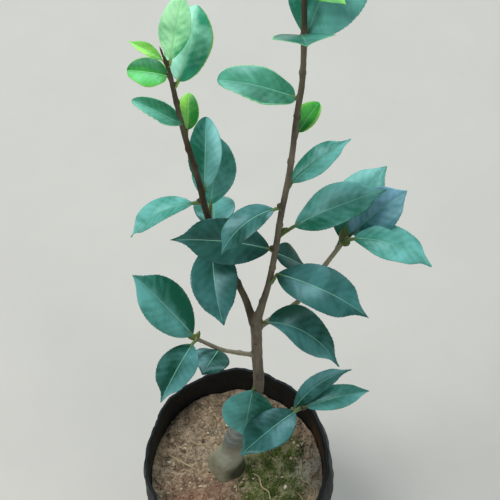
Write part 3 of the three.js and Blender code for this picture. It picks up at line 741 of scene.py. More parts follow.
def build_limbs(settings):
    """All limbs fused into one body, with furrows, nodes, leaf scars and a flared stump."""
    tubes = [limb_tube("limb_" + name, np.vstack([TRUNK_FOOT, points]) if name == "trunk" else points)
             for name, (points, _) in LINES.items()]
    deselect()
    for tube in tubes:
        tube.select_set(True)
    bpy.context.view_layer.objects.active = tubes[0]
    bpy.ops.object.join()
    limbs = bpy.context.object
    limbs.name = "camellia_limbs"
    apply_modifier(limbs, "REMESH", mode="VOXEL", voxel_size=settings.limb_voxel)
    names = list(LIMBS)
    fields = [LimbField(name) for name in names]
    points = corners(limbs)
    sunk = points[:, 2] < SOIL_LEVEL + 1
    # The voxel steps are drawn back onto the limbs' own surface, which blends softly where limbs meet.
    for _ in range(2):
        set_corners(limbs, points)
        normals = read(limbs.data.vertex_normals, "vector")
        apart = np.stack([field.measure(points)[0] for field in fields])
        soft = -SURFACE_BLEND * np.log(np.exp(-np.clip(apart, -6, 30) / SURFACE_BLEND).sum(0))
        points = points - normals * np.where(sunk, 0, np.clip(soft, -0.6, 0.9))[:, None]
    set_corners(limbs, points)
    normals = read(limbs.data.vertex_normals, "vector")
    apart, alongs, angles = (np.stack(m) for m in zip(*(field.measure(points) for field in fields)))
    weight = np.exp(-np.clip(apart, -6, 30) / TONE_BLEND)
    weight /= weight.sum(0)
    own = np.argmax(weight, axis=0)
    along, angle = np.choose(own, alongs), np.choose(own, angles)
    radii = [np.interp(a, LINES[name][1], LINES[name][0][:, 3]) for name, a in zip(names, alongs)]
    radius = np.maximum(0.8, np.choose(own, radii))
    # Long shallow furrows that follow each limb, and slower swellings.
    furrow = ripple(around(angle, radius, along * 0.22), 1.1, 1.0)
    swell = ripple(np.stack([points[:, 0], points[:, 1], points[:, 2] * 0.6], 1), 7.0, 4.0)
    depth = settings.bark_relief / MM
    stout = smooth(1.2, 9, radius)
    furrowed = depth * (0.35 + 0.9 * stout) * (0.55 * furrow - 0.6 * np.abs(furrow))
    relief = furrowed + (0.1 + 0.5 * stout) * swell
    # Flutes of the root flare.
    height = points[:, 2] - SOIL_LEVEL
    flute = 0.7 * np.cos(4 * angles[0] + 1.1) + 0.5 * np.cos(7 * angles[0] + 0.3)
    relief += np.where(own == 0, flute * np.exp(-np.maximum(height, 0) / 11), 0)
    # Cushions under the leaf stalks and healed scars.
    scar = np.zeros(len(points))
    for key in LEAVES:
        relief += 0.55 * np.exp(-((points - leaf_root(key)[0]) ** 2).sum(1) / 5.0)
    for limb, places in SCARS.items():
        for distance, bearing in places:
            middle = on_limb(limb, distance)
            gap = ((points - (middle[:3] + heading(bearing, 0) * middle[3])) ** 2).sum(1)
            relief += 0.75 * np.exp(-gap / 5.5) - 0.45 * np.exp(-gap / 0.9)
            scar = np.maximum(scar, np.exp(-gap / 1.6))
            relief += np.where(own == names.index(limb), 0.16 * np.exp(-((along - distance) ** 2) / 1.2), 0)
    set_corners(limbs, points + normals * relief[:, None])
    trunk, right, left, side, low_left, low_right = weight
    tones = {
        "olive": left + right * smooth(180, 300, alongs[1]) * 0.7,
        "pale": side + 0.6 * low_left + 0.5 * low_right + trunk * 0.45 * smooth(70, 20, along),
        "mossy": trunk * smooth(204, 172, points[:, 2] + normals[:, 2] * relief),
        "scar": scar * 0.8,
    }
    for name, values in tones.items():
        paint(limbs, name, np.clip(values, 0, 1))
    dress(limbs, bark_finish(settings), "trunk_bark", *LIMB_NODES)


def build_tape(settings):
    """The tape's sleeve round the graft, wound in overlapping turns, its foot cut on a slant."""
    tape, angle, row = pulled_sleeve("graft_wrap", TAPE_SIDES, TAPE_ROWS)
    share = row / (TAPE_ROWS - 1)
    field = LimbField("trunk", 1.0)
    lower = TAPE_FROM + 1.0 + 3.0 * np.cos(angle - 0.6) + 0.7 * np.sin(3 * angle)
    upper = TAPE_TO - 0.5 + 0.8 * np.sin(2 * angle + 1)
    along = lower + (upper - lower) * share
    steps = np.arange(len(field.run))
    index = np.interp(along, field.run, steps)
    at = sampled(index, steps, field.at)
    near = np.clip(np.rint(index).astype(int), 0, len(field.run) - 1)
    turn = (along / TAPE_TURN - angle / (2 * np.pi)) % 1.0
    radius = at[:, 3] + TAPE_STAND_OFF + 0.4 * turn**2
    wrapped = around(angle, radius, along)
    radius += 0.14 * ripple(wrapped, 4.2, 2.0) + 0.05 * ripple(wrapped, 1.3, 5.0)
    radius -= 0.5 * smooth(0.06, 0.0, share) + 0.5 * smooth(0.95, 1.0, share)
    across = field.side[near] * (radius * np.cos(angle))[:, None]
    set_corners(tape, at[:, :3] + across + field.over[near] * (radius * np.sin(angle))[:, None])
    outward(tape)
    apply_modifier(tape, "SOLIDIFY", thickness=TAPE_THICKNESS, offset=-1)
    apply_modifier(tape, "SUBSURF", levels=1, render_levels=1)
    dress(tape, tape_finish(settings), "graft_tape", "graft_tape")


# Leaves and buds


def half_width(t, tip, early):
    """Half width of a blade along its midrib, 0 at the stalk and 1 at the tip, as in the source."""
    t = np.clip(t, 1e-6, 1 - 1e-9)
    if tip in ("round", "blunt"):
        return np.sin(np.pi * t**0.94) ** (0.6 if tip == "round" else 0.46)
    plain = np.sin(np.pi * t**early) ** 0.8 * (1 - 0.4 * smooth(0.76, 0.97, t))
    return plain * (1 - 0.42 * smooth(0.72, 0.92, t)) if tip == "drawn" else plain


# Outline steps from the edge of the midrib (0) to the margin (1).
BLADE_STEPS = np.array([0, 0.06, 0.15, 0.27, 0.39, 0.51, 0.63, 0.75, 0.86, 0.94, 1.0])
# Kinds of face on a blade.
UPPER, MIDRIB, EDGE, UNDERSIDE = range(4)


def blade_arrays(key, settings):
    """Points, faces, face kinds and painted sheen of one blade, and its midrib, upward directions and start.
    """
    stem, along, stalk, turn, bearing, rise, droop, length, width, fold, roll, sweep = LEAVES[key][:12]
    rng = np.random.default_rng(100 + list(LEAVES).index(key))
    rows = int(np.clip(length * 1.3, 34, settings.blade_rows))
    t = np.linspace(0, 1, rows + 1)
    ahead = heading(bearing + sweep * t, rise - droop * t).T
    start = on_limb(stem, along)[:3] + heading(bearing + turn, STALK_LIFT.get(key, rise)) * stalk
    rib = start + np.vstack([np.zeros(3), np.cumsum((ahead[1:] + ahead[:-1]) / 2 * (length / rows), axis=0)])
    b = np.radians(bearing + sweep * t)
    flat = np.stack([-np.sin(b), np.cos(b), np.zeros_like(b)], 1)
    up = np.cross(ahead, flat)
    twist = np.radians(roll + TWIST.get(key, 0) * t + rng.uniform(-5, 5) * (t - 0.3))[:, None]
    left = flat * np.cos(twist) + up * np.sin(twist)
    up = np.cross(ahead, left)
    half = np.maximum(0.42, width / 2 * half_width(t, TIPS.get(key), EARLY.get(key, 0.9)))
    half[-1] = 0.18
    rib_half = np.minimum(0.4 * (1 - 0.75 * t) * (0.6 + 0.4 * width / 35), half * 0.5)
    # Distances from the midrib, one row for each place along it.
    outer = rib_half[:, None] + (half - rib_half)[:, None] * BLADE_STEPS[None]
    x = np.hstack([-outer[:, ::-1], np.zeros((rows + 1, 1)), outer])
    share = x / half[:, None]
    aside = np.abs(share)
    tt = np.broadcast_to(t[:, None], x.shape)
    # Fine forward teeth and an outline that is never quite even.
    teeth = max(8, int(length / 2.6))
    saw = (tt * teeth + 0.3 * np.sign(x)) % 1.0
    reach = settings.tooth_depth / MM * smooth(0.1, 0.25, tt) * smooth(1.0, 0.9, tt) * (length / 60)
    outline = reach * saw + width * 0.012 * np.sin(tt * 9 + rng.uniform(0, 6) + (x > 0) * 2)
    grown = x + np.sign(x) * outline * aside ** 5
    if key in DAMAGE:
        side, begin, deep = DAMAGE[key]
        bite = smooth(begin, begin + 0.1, tt) * (0.7 + 0.3 * np.sin(tt * 60 + 1)) * deep
        grown = np.where(np.sign(x) == side, grown * (1 - bite * aside ** 1.5), grown)
    keel = np.radians(fold)
    lift = np.sqrt(share**2 + 0.0025) - 0.05
    high = half[:, None] * (lift * np.sin(keel) - 0.12 * share**2)
    # Side veins sunk between low swellings of the blade.
    pairs = 6.5 + length / 20
    vein = ((tt - 0.2 * aside ** 1.15 + 0.012 * np.sign(x)) * pairs) % 1.0
    field = smooth(0.02, 0.2, aside) * smooth(1.0, 0.72, aside)
    field = field * smooth(0.02, 0.14, tt) * smooth(0.98, 0.84, tt)
    deep = settings.vein_depth / MM * (0.5 + 0.5 * width / 35)
    quilt = deep * field * (np.sin(np.pi * vein) ** 0.7 - 0.5)
    swing = np.sin(tt * rng.uniform(7, 12) + rng.uniform(0, 6) + (x > 0) * rng.uniform(0, 3))
    wave = 0.022 * width * share**2 * swing
    sag = 0.012 * width * np.sin(tt * 5 + rng.uniform(0, 6)) * (1 - aside)
    high = high + quilt + wave * smooth(0, 0.2, tt) + sag * smooth(0, 0.3, tt)
    groove = -0.3 * np.exp(-((x / 0.5) ** 2)) * (1 - 0.7 * tt)
    ridge = (0.6 * (1 - tt) + 0.12) * np.exp(-((x / 0.75) ** 2))
    # Painted sheen: lighter on the half turned to the sky, towards the tip and on the swellings between the
    # side veins, and painted shade elsewhere.
    gleam = PAINTED_SHEEN_SIDE.get(key, rng.uniform(-0.6, 0.6)) * np.tanh(4 * share)
    bloom = 0.4 + 0.38 * gleam + 0.3 * (tt - 0.45) + 0.16 * field * (np.sin(np.pi * vein) - 0.6)
    thick = settings.blade_thickness / MM * (1 - 0.45 * aside ** 3) * (0.75 if length < 30 else 1)
    middle = rib[:, None] + left[:, None] * (grown * np.cos(keel))[..., None]
    top = middle + up[:, None] * (high + groove + thick / 2)[..., None]
    low = middle + up[:, None] * (high - ridge - thick / 2)[..., None]
    points = np.concatenate([top.reshape(-1, 3), low.reshape(-1, 3)])
    upper = np.arange(x.size).reshape(x.shape)
    lower = upper + x.size
    kinds = np.full((rows, x.shape[1] - 1), UPPER)
    centre = len(BLADE_STEPS)
    kinds[: int(rows * 0.95), centre - 1:centre + 1] = MIDRIB
    if key in LIGHT_EDGE:
        kinds[:, [0, -1]] = EDGE
    if key in WIDE_LIGHT_EDGE:
        kinds[:, [1, 2, -3, -2]] = EDGE
    faces = [
        (upper[:-1, :-1], upper[1:, :-1], upper[1:, 1:], upper[:-1, 1:]),
        (lower[:-1, :-1], lower[:-1, 1:], lower[1:, 1:], lower[1:, :-1]),
        (lower[:-1, 0], lower[1:, 0], upper[1:, 0], upper[:-1, 0]),
        (upper[:-1, -1], upper[1:, -1], lower[1:, -1], lower[:-1, -1]),
        (lower[0, :-1], upper[0, :-1], upper[0, 1:], lower[0, 1:]),
        (upper[-1, :-1], lower[-1, :-1], lower[-1, 1:], upper[-1, 1:]),
    ]
    faces = [np.stack(quad, -1).reshape(-1, 4) for quad in faces]
    rim = sum(len(strip) for strip in faces[2:])
    kinds = np.concatenate([kinds.ravel(), np.full(len(faces[1]), UNDERSIDE), np.full(rim, EDGE)])
    return points, np.concatenate(faces), kinds, np.tile(bloom.ravel(), 2), (rib, up, start)


def stalk_line(key, rib, up, start):
    """Stations of a leaf's stalk, from inside its stem on along the underside of the midrib."""
    root = on_limb(*LEAVES[key][:2])[:3]
    surface, line, out = leaf_root(key)
    small = np.clip(LEAVES[key][7] / 45, 0.55, 1.15)
    bend = surface + (out * 0.5 + line * 0.5) * 0.8
    rows = [(*(root + (surface - root) * 0.5), 1.7 * small), (*surface, 1.5 * small), (*bend, 1.25 * small)]
    rows += [(*(bend + (start - bend) * f), 1.08 * small) for f in (0.35, 0.6, 0.85)]
    for f in (0.0, 0.05, 0.1, 0.17, 0.25, 0.33):
        i = int(f * (len(rib) - 1))
        rows.append((*(rib[i] - up[i] * (0.2 + 0.8 * min(1, f * 9))), (1.0 - 2.4 * f) * small))
    return rows


def build_leaves(settings):
    """The blades, joined by kind of leaf, and all the stalks."""
    tops = {look: blade_finish("leaf " + look.replace("_", " "), getattr(settings, look), GLOSS_AND_PAINTED_SHEEN.get(look, 1))
            for look in dict.fromkeys(leaf[12] for leaf in LEAVES.values())}
    other = [
        [grained_finish(kind, age + part, getattr(settings, prefix + colour)) for kind, part, colour in (
            ("rib", "leaf midrib", "midrib_colour"), ("rib", "leaf edge", "edge_colour"),
            ("underside", "leaf underside", "underside_colour"))]
        for age, prefix in (("", ""), ("young ", "young_"))
    ]
    stalks = []
    for name, (members, nodes, slot) in LEAF_PIECES.items():
        finishes, parts, painted_sheens = [], [], []
        for key in members:
            look = LEAVES[key][12]
            rib, edge, under = other[look in YOUNG]
            # A plain leaf's edge keeps the blade's own tone.
            kinds_to_finish = [tops[look], rib, edge if key in LIGHT_EDGE else tops[look], under]
            for finish in kinds_to_finish:
                if finish not in finishes:
                    finishes.append(finish)
            points, faces, kinds, bloom, spine = blade_arrays(key, settings)
            parts.append((points, (faces, np.array([finishes.index(f) for f in kinds_to_finish])[kinds])))
            painted_sheens.append(bloom)
            stalks.append(tube_part(stalk_line(key, *spine), 12, int(look in YOUNG)))
        piece = joined_mesh(name, parts, finishes)
        # Each blade's painted sheen, which its finish reads.
        paint(piece, "bloom", np.concatenate(painted_sheens))
        seat(piece, slot, *nodes)
    stalk_looks = [stalk_finish("leaf stalk", settings.stalk_colour, srgb(106, 104, 58)),
                   stalk_finish("young leaf stalk", settings.young_stalk_colour, srgb(150, 190, 96))]
    seat(joined_mesh("leaf_stalks", stalks, stalk_looks), "leaf")


def bud_line(place, way, length, radius, rows=15):
    """Stations of a pointed bud with stepped scales."""
    share = np.linspace(0, 1, rows)
    body = np.interp(share, [0, 0.12, 0.35, 0.6, 0.85, 1], [0.62, 0.86, 1, 0.86, 0.4, 0.04])
    scale = 1 - 0.1 * ((share * 3.5) % 1.0)
    spots = place[None] + way[None] * (share * length)[:, None]
    return np.hstack([spots, (radius * body * scale)[:, None]])


def build_buds(settings):
    """Tip buds in green scales and a small brown bud in each leaf axil."""
    buds = [
        (on_limb(limb, along)[:3], heading(bearing, rise), *bud)
        for limb, along, bearing, rise, *bud in TIP_BUDS
    ]
    rng = np.random.default_rng(5)
    for key in LEAVES:
        surface, line, out = leaf_root(key)
        size = 0.6 + 0.4 * rng.random()
        bud = (3.6 * size, 1.1 * size, int(rng.random() < 0.45))
        way = unit(line * 0.8 + out * 0.7)
        buds.append((surface + line * 1.6 - out * 1.2, way, *AXIL_BUDS.get(key, bud)))
    parts = []
    for place, way, length, radius, tone in buds:
        points, *faces = tube_part(bud_line(place, way, length, radius), 12, tone)
        angle = np.arctan2(points[:, 1] - place[1], points[:, 0] - place[0])
        parts.append((points + way * (0.05 * length * np.sin(2 * angle))[:, None] * 0.5, *faces))
    green = stalk_finish("green bud", settings.bud_colour, srgb(92, 96, 42))
    brown = stalk_finish("brown bud", srgb(78, 74, 40), srgb(54, 44, 28))
    seat(joined_mesh("buds", parts, [green, brown]), "leaf")


# Pot


def film_outline(a, z, out):
    """The pot's wall at an angle and height, as in the source, moved out by some mm."""
    belly = 1 - POT_TAPER * (1 - z / POT_HEIGHT)
    belly = belly + POT_BELLY * np.sin(np.pi * np.clip(z, 0, POT_HEIGHT) / POT_HEIGHT)
    dent = 0.9 * np.sin(3 * a + 0.7 + z * 0.012) + 0.6 * np.sin(7 * a + 2.1 - z * 0.03)
    swell = dent * smooth(4, 30, z) + out
    return np.stack([
        MIDDLE_X + (POT_HALF_WIDTH * belly + swell) * np.cos(a),
        MIDDLE_Y + (POT_HALF_DEPTH * belly + swell) * np.sin(a),
        z * np.ones_like(a),
    ], -1)


# Rows of the film: height, distance out, share of the collar's flare, share of the pot's radius.
FLOOR_ROWS = [(0.05, 0, 0, s) for s in (0.12, 0.3, 0.5, 0.7, 0.85, 0.95)]
WALL_ROWS = [
    (0.1, -3.2, 0, 1), (0.9, -1.3, 0, 1), (3.0, -0.5, 0, 1), (6, -0.3, 0, 1),
    *((z, -0.35, 0, 1) for z in range(11, 136, 5)), *((z, -0.5, 0, 1) for z in range(138, 160, 3)),
    (161.5, -0.6, 0, 1), (163.4, -0.75, 0, 1), (164.6, -0.6, 0, 1),
    (165.1, 0.0, 0.02, 1), (164.9, 0.75, 0.06, 1), (164.0, 1.1, 0.12, 1),
]
COLLAR_ROWS = [
    (162.5, 1.2, 0.2, 1), (160.5, 1.2, 0.32, 1), (158, 1.25, 0.45, 1), (155, 1.3, 0.58, 1),
    (152, 1.3, 0.7, 1), (149, 1.3, 0.8, 1), (146, 1.35, 0.88, 1), (143, 1.4, 0.95, 1),
    (140.5, 1.45, 1.0, 1), (138.6, 1.5, 1.02, 1), (137.3, 1.4, 1.03, 1),
]
# Rows at the end that lie in the fold, sides of the film's outline, and where its creases are read off.
FOLDED_ROWS, POT_SIDES, CREASE_RADIUS = 18, 216, 60


def build_pot(settings):
    """A film sheet from the middle of the floor up the wall, over the rim and down the folded collar."""
    table = np.array(FLOOR_ROWS + WALL_ROWS + COLLAR_ROWS)
    rows = len(table)
    pot, angle, row = pulled_sleeve("film_pot", POT_SIDES, rows)
    row = np.rint(row).astype(int)
    z, out, share, inward = (table[row, c] for c in range(4))
    fold = row >= rows - FOLDED_ROWS
    hem = smooth(rows - 6, rows - 1, row)
    # Creases of the soft film: upright near the rim, slanting lower down, and a waved hem.
    crease_at = around(angle, CREASE_RADIUS, z * 0.16 + fold * 30)
    fine_at = around(angle, CREASE_RADIUS, z * 0.5 + fold * 50)
    depth = settings.crease_depth / MM
    crease = depth * (ripple(crease_at, 7, 1) - 0.7 * np.abs(ripple(crease_at, 3.6, 2)) + 0.3)
    crease = crease * (0.35 + 0.65 * smooth(20, 150, z)) + 0.22 * depth * ripple(fine_at, 2.2, 3)
    flare = FLARE_LEFT + (FLARE_RIGHT - FLARE_LEFT) * (0.5 + 0.5 * np.cos(angle - 0.2))
    spots = film_outline(angle, z, out + share * flare + crease * smooth(2, 12, z))
    lift = 1.2 * np.sin(2 * angle + 0.4) + 0.8 * np.sin(5 * angle + 1.3)
    rim = ripple(around(angle, CREASE_RADIUS, 0 * angle), 8, 7)
    spots[:, 2] = z + lift * smooth(100, 161, z) + 0.7 * rim * smooth(148, 164, z)
    spots[:, 2] -= hem * (1.2 * ripple(crease_at, 9, 9) + 0.6)
    for axis, middle in enumerate((MIDDLE_X, MIDDLE_Y)):
        spots[:, axis] = np.where(inward < 1, middle + (spots[:, axis] - middle) * inward, spots[:, axis])
    set_corners(pot, spots)
    close_ring(pot, row == 0)
    outward(pot)
    # The sheet is open, so its wall may still face the pot's axis.
    centre, normal = (read(pot.data.polygons, what) for what in ("center", "normal"))
    wall = (centre[:, 2] > 0.02) & (centre[:, 2] < 0.12)
    inwards = (normal[:, :2] * (centre[:, :2] - np.array([MIDDLE_X, MIDDLE_Y]) * MM)).sum(1) < 0
    if inwards[wall].mean() > 0.5:
        edit(pot)
        bpy.ops.mesh.flip_normals()
        back_to_object()
    apply_modifier(pot, "SOLIDIFY", thickness=settings.film_thickness, offset=-1, use_even_offset=True)
    # The film's inner face, where soil has stained it.
    points, normals = corners(pot), read(pot.data.vertex_normals, "vector")
    off_x, off_y = points[:, 0] - MIDDLE_X, points[:, 1] - MIDDLE_Y
    facing = -(normals[:, 0] * off_x + normals[:, 1] * off_y) / np.maximum(1, np.hypot(off_x, off_y))
    paint(pot, "inside", smooth(0.1, 0.6, facing) * smooth(164, 158, points[:, 2]))
    dress(pot, film_finish(settings), "pot_film", "pot")


# Soil, moss and litter


def from_stump(x, y):
    """Distance of a place on the soil from the middle of the stump."""
    return np.hypot(x - STUMP_X, y - STUMP_Y)


def moss_amount(x, y):
    """How mossy the soil is at a place, 0 to 1."""
    return np.max([smooth(r, r * 0.35, np.hypot(x - mx, y - my)) for mx, my, r in MOSS], axis=0)


def soil_height(x, y):
    """Height of the ground under the crumbs and the moss, a little below the source's surface."""
    x, y = np.asarray(x, float), np.asarray(y, float)
    apart = from_stump(x, y)
    lumps = np.sin(x * 0.11 + 1.3) * np.cos(y * 0.13) + 0.7 * np.sin(x * 0.23 - y * 0.19 + 0.5)
    shape = SOIL_LUMP * lumps + SOIL_MOUND * (np.exp(-((apart / 48) ** 2)) - 0.5)
    return SOIL_LEVEL - 0.4 + (shape - 0.5 + 0.5 * moss_amount(x, y)) * smooth(24, 36, apart)


def build_soil(settings):
    """A fine grid rounded to the pot's inner outline, roughened, with a skirt down to the floor."""
    deselect()
    bpy.ops.mesh.primitive_grid_add(
        x_subdivisions=settings.soil_cuts, y_subdivisions=settings.soil_cuts, size=2, location=(0, 0, 0))
    soil = bpy.context.object
    soil.name = "soil_body"
    edit(soil)
    bpy.ops.mesh.select_all(action="DESELECT")
    bpy.ops.mesh.select_non_manifold(
        extend=False, use_wire=False, use_boundary=True, use_multi_face=False, use_non_contiguous=False,
        use_verts=False)
    # Rows of the skirt: depth below the surface and distance out from the film's outer face.
    skirt = ((22, 0.2 - POT_WALL), (70, 0.2 - POT_WALL), (115, 0.2 - POT_WALL), (126, -8.0))
    for _ in skirt:
        bpy.ops.mesh.extrude_region_move(TRANSFORM_OT_translate={"value": (0, 0, -1)})
    bpy.ops.mesh.edge_face_add()
    back_to_object()
    co = corners(soil) * MM
    u, v, level = co[:, 0], co[:, 1], np.rint(co[:, 2]).astype(int)
    x = u * np.sqrt(1 - v * v / 2)
    y = v * np.sqrt(1 - u * u / 2)
    angle, radius = np.arctan2(y, x), np.hypot(x, y)
    rim = film_outline(angle, np.full_like(angle, SOIL_LEVEL), -POT_WALL + 0.9)
    x = STUMP_X + (rim[:, 0] - STUMP_X) * radius
    y = STUMP_Y + (rim[:, 1] - STUMP_Y) * radius
    ground = np.stack([x, y, 0 * x], -1)
    away = smooth(17, 26, from_stump(x, y)) * 0.8 + 0.2
    clods = ripple(ground, 9, 1) * 1.3 + ripple(ground, 4.2, 2) * 0.9
    grains = np.abs(ripple(ground, 2.1, 3)) * 1.1 + ripple(ground, 1.2, 4) * 0.5
    height = soil_height(x, y) + settings.soil_roughness / MM * (clods + grains - 0.3) * away
    # Soil climbs a little against the film, and the trunk sits in a shallow dish.
    height += 1.6 * smooth(0.9, 1.0, radius) * (0.5 + 0.5 * ripple(ground, 14, 6))
    spots = np.stack([x, y, height], -1)
    for step, (below, out) in enumerate(skirt, 1):
        picked = angle[level == -step]
        spots[level == -step] = film_outline(picked, np.full_like(picked, SOIL_LEVEL - below), out)
    set_corners(soil, spots)
    outward(soil)
    dress(soil, soil_finish(settings), "soil", "soil")


def unit_lump(level):
    """A ball of flat facets, made once and copied: its vertices and triangles."""
    deselect()
    bpy.ops.mesh.primitive_ico_sphere_add(subdivisions=level, radius=1, location=(0, 0, 0))
    ball = bpy.context.object
    points, mesh = corners(ball) * MM, ball.data
    faces = np.array([f.vertices[:] for f in mesh.polygons])
    bpy.data.objects.remove(ball)
    bpy.data.meshes.remove(mesh)
    return points, faces


def scattered(rng, count, margin):
    """Random places on the soil, clear of the film and the stump."""
    x = rng.uniform(-90, 90, count * 3)
    y = rng.uniform(-95, 95, count * 3)
    wide, deep = (half * 0.992 - POT_WALL - margin for half in (POT_HALF_WIDTH, POT_HALF_DEPTH))
    good = ((x - MIDDLE_X) / wide) ** 2 + ((y - MIDDLE_Y) / deep) ** 2 < 1
    good &= from_stump(x, y) > STUMP_CLEAR
    return x[good][:count], y[good][:count]


def lumps_part(rng, x, y, size, level, rise, tone):
    """Copies of a faceted lump at places on the soil, each turned and squashed in its own way."""
    lump, faces = unit_lump(level)
    n = len(x)
    turn, _ = np.linalg.qr(rng.normal(size=(n, 3, 3)))
    stretch = rng.uniform(0.6, 1.25, (n, 1, 3))
    knobs = 1 + 0.22 * rng.normal(size=(n, len(lump), 1)).clip(-1.5, 1.5)
    points = ((lump[None] * knobs * stretch) @ turn) * size[:, None, None]
    points[..., 2] *= 0.8
    points += np.stack([x, y, soil_height(x, y) + size * rise], -1)[:, None]
    copies = faces[None] + (np.arange(n) * len(lump))[:, None, None]
    flip = np.linalg.det(turn) < 0
    copies[flip] = copies[flip][..., ::-1]
    return points.reshape(-1, 3), (copies.reshape(-1, 3), np.repeat(tone, len(faces)))


def build_crumbs(settings):
    """Loose crumbs, grit and pale chips on the soil, dealt out in a few tones."""
    colours = (
        ("dark", (98, 80, 64)), ("brown", (150, 128, 102)), ("tan", (196, 176, 148)),
        ("clay", (152, 112, 90)), ("grey", (160, 150, 130)),
    )
    finishes = [grained_finish("grit", name + " crumb", srgb(*colour)) for name, colour in colours]
    finishes.append(grained_finish("chip", "pale chip", srgb(214, 204, 178)))
    dark, brown, tan, clay, grey, pale = range(6)
    rng = np.random.default_rng(11)
    parts = []
    # Many small crumbs and a fifth as many larger ones: how many, how finely faceted, and sizes.
    crumbs = settings.crumb_count
    for count, level, low, high in ((crumbs, 1, 0.4, 1.1), (crumbs // 5, 2, 0.9, 2.0)):
        x, y = scattered(rng, count, 2.2)
        size = low + (high - low) * rng.random(len(x)) ** 2.2
        keep = rng.random(len(x)) > 0.75 * moss_amount(x, y)
        x, y, size = x[keep], y[keep], size[keep]
        roll = rng.random(len(x))
        red = 0.9 * smooth(62, 30, np.hypot(x - CLAY[0], y - CLAY[1]))
        shares = [roll < 0.5 * red, roll < 0.62, roll < 0.85, roll < 0.93]
        tone = np.select(shares, [clay, brown, tan, grey], dark)
        parts.append(lumps_part(rng, x, y, size, level, 0.12, tone))
    parts.append(lumps_part(rng, *np.array(CHIPS).T, 2, 0.5, np.full(len(CHIPS), pale)))
    seat(joined_mesh("soil_crumbs", parts, finishes), "soil")


def build_moss(settings):
    """Short pointed sprigs of moss, three blades each, in three greens."""
    colours = (("dark", (80, 94, 44)), ("green", (106, 122, 58)), ("light", (136, 148, 84)))
    greens = [grained_finish("grit", "moss " + name, srgb(*colour)) for name, colour in colours]
    rng = np.random.default_rng(23)
    x, y = scattered(rng, settings.moss_count * 4, 2.5)
    patchy = moss_amount(x, y) * smooth(-0.4, 0.15, ripple(np.stack([x, y, 0 * x], -1), 6, 8))
    keep = rng.random(len(x)) < patchy
    x, y = x[keep][: settings.moss_count], y[keep][: settings.moss_count]
    n, blades = len(x), 3
    tall = rng.uniform(0.9, 2.2, n)
    base = np.stack([x, y, soil_height(x, y) - 0.2], -1)
    sprig = np.array([[0, 1, 3], [1, 2, 3], [2, 0, 3], [0, 2, 1]])
    points = []
    for _ in range(blades):
        way = rng.uniform(0, 2 * np.pi, n)
        lean = rng.uniform(0.2, 0.9, n)
        side = np.stack([-np.sin(way), np.cos(way), 0 * way], -1) * (0.28 * tall)[:, None]
        forward = np.stack([np.cos(way), np.sin(way), 0 * way], -1)
        tip = base + forward * (lean * tall)[:, None] + np.array([0, 0, 1.0]) * tall[:, None]
        points.append(np.stack([base - side, base + side, base - forward * 0.16 * 2, tip], 1).reshape(-1, 3))
    faces = (sprig[None] + (np.arange(n * blades) * 4)[:, None, None]).reshape(-1, 3)
    tone = np.tile(np.repeat(rng.choice(3, n, p=[0.4, 0.4, 0.2]), len(sprig)), blades)
    seat(joined_mesh("moss", [(np.concatenate(points), (faces, tone))], greens), "soil")


def build_litter(settings):
    """Straws and rootlets that rest on the soil."""
    parts = []
    for thick, places in LITTER:
        stations = [(x, y, float(soil_height(x, y)) + up + thick, thick) for x, y, up in places]
        line = smooth_line(stations, 9)[0]
        line[:, 3] *= 0.55 + 0.45 * np.sin(np.linspace(0.3, np.pi - 0.25, len(line)))
        parts.append(tube_part(line, 8, 0))
    straw = grained_finish("chip", "straw", settings.straw_colour)
    seat(joined_mesh("straw_and_rootlets", parts, [straw]), "soil")


# Stage

# The camera of the photo: its place, its tilt up from straight down, and its lens on a 36 mm sensor.
CAMERA_PLACE, CAMERA_TILT, CAMERA_LENS = (0.0094, -0.4869, 1.1894), 35, 90
LIGHT_TARGET = (0, 0, 0.35)
# Soft lights: name, place, size, the setting that gives the power and how much of it, and colour.
LIGHTS = (
    ("overhead light", (-1.3, -0.2, 3.0), 1.6, "key_power", 1, (0.97, 0.985, 1.0)),
    ("cool back light", (0.5, 2.4, 2.5), 1.5, "sheen_power", 1, (0.78, 0.93, 1.0)),
    ("front fill", (1.8, -2.0, 1.6), 1.8, "key_power", 0.22, (1.0, 0.98, 0.96)),
)


def build_stage(settings):
    """A pale floor, an even sky, three soft lights and the camera."""
    deselect()
    bpy.ops.mesh.primitive_plane_add(size=8, location=(0, 0, -0.0005))
    floor = bpy.context.object
    floor.name = "floor"
    finish = Finish("pale floor", settings.floor_colour, 0.85, 0.2)
    tone = finish.mottle(finish.noise(9, detail=6), settings.floor_colour, 0.97, 1.02)
    floor.data.materials.append(finish.done(tone))
    scene = bpy.context.scene
    world = bpy.data.worlds.new("soft sky")
    scene.world = world
    world.use_nodes = True
    backdrop = world.node_tree.nodes["Background"]
    backdrop.inputs["Color"].default_value = (*settings.sky_colour, 1)
    backdrop.inputs["Strength"].default_value = settings.sky_strength
    for name, place, size, power, share, colour in LIGHTS:
        deselect()
        bpy.ops.object.light_add(type="AREA", location=place)
        lamp = bpy.context.object
        lamp.name = name
        lamp.data.shape = "DISK"
        lamp.data.size = size
        lamp.data.energy = getattr(settings, power) * share
        lamp.data.color = colour
        lamp.rotation_euler = (Vector(LIGHT_TARGET) - Vector(place)).to_track_quat("-Z", "Y").to_euler()
    deselect()
    bpy.ops.object.camera_add(location=CAMERA_PLACE, rotation=(math.radians(CAMERA_TILT), 0, 0))
    camera = bpy.context.object
    camera.name = "photo camera"
    camera.data.lens = CAMERA_LENS
    camera.data.sensor_width = 36
    camera.data.clip_start = 0.01
    scene.camera = camera
    scene.view_settings.view_transform = "Standard"


# Settings


def tint(name, description, *colour):
    return FloatVectorProperty(
        name=name, description=description, subtype="COLOR", size=3, min=0, max=1, default=srgb(*colour))


def length(name, description, value, high):
    return FloatProperty(
        name=name, description=description, unit="LENGTH", subtype="DISTANCE", default=value, min=0, max=high)


def number(name, description, value, low, high):
    return IntProperty(name=name, description=description, default=value, min=low, max=high)


def wattage(name, description, value):
    return FloatProperty(name=name, description=description, unit="POWER", default=value, min=0, max=500)


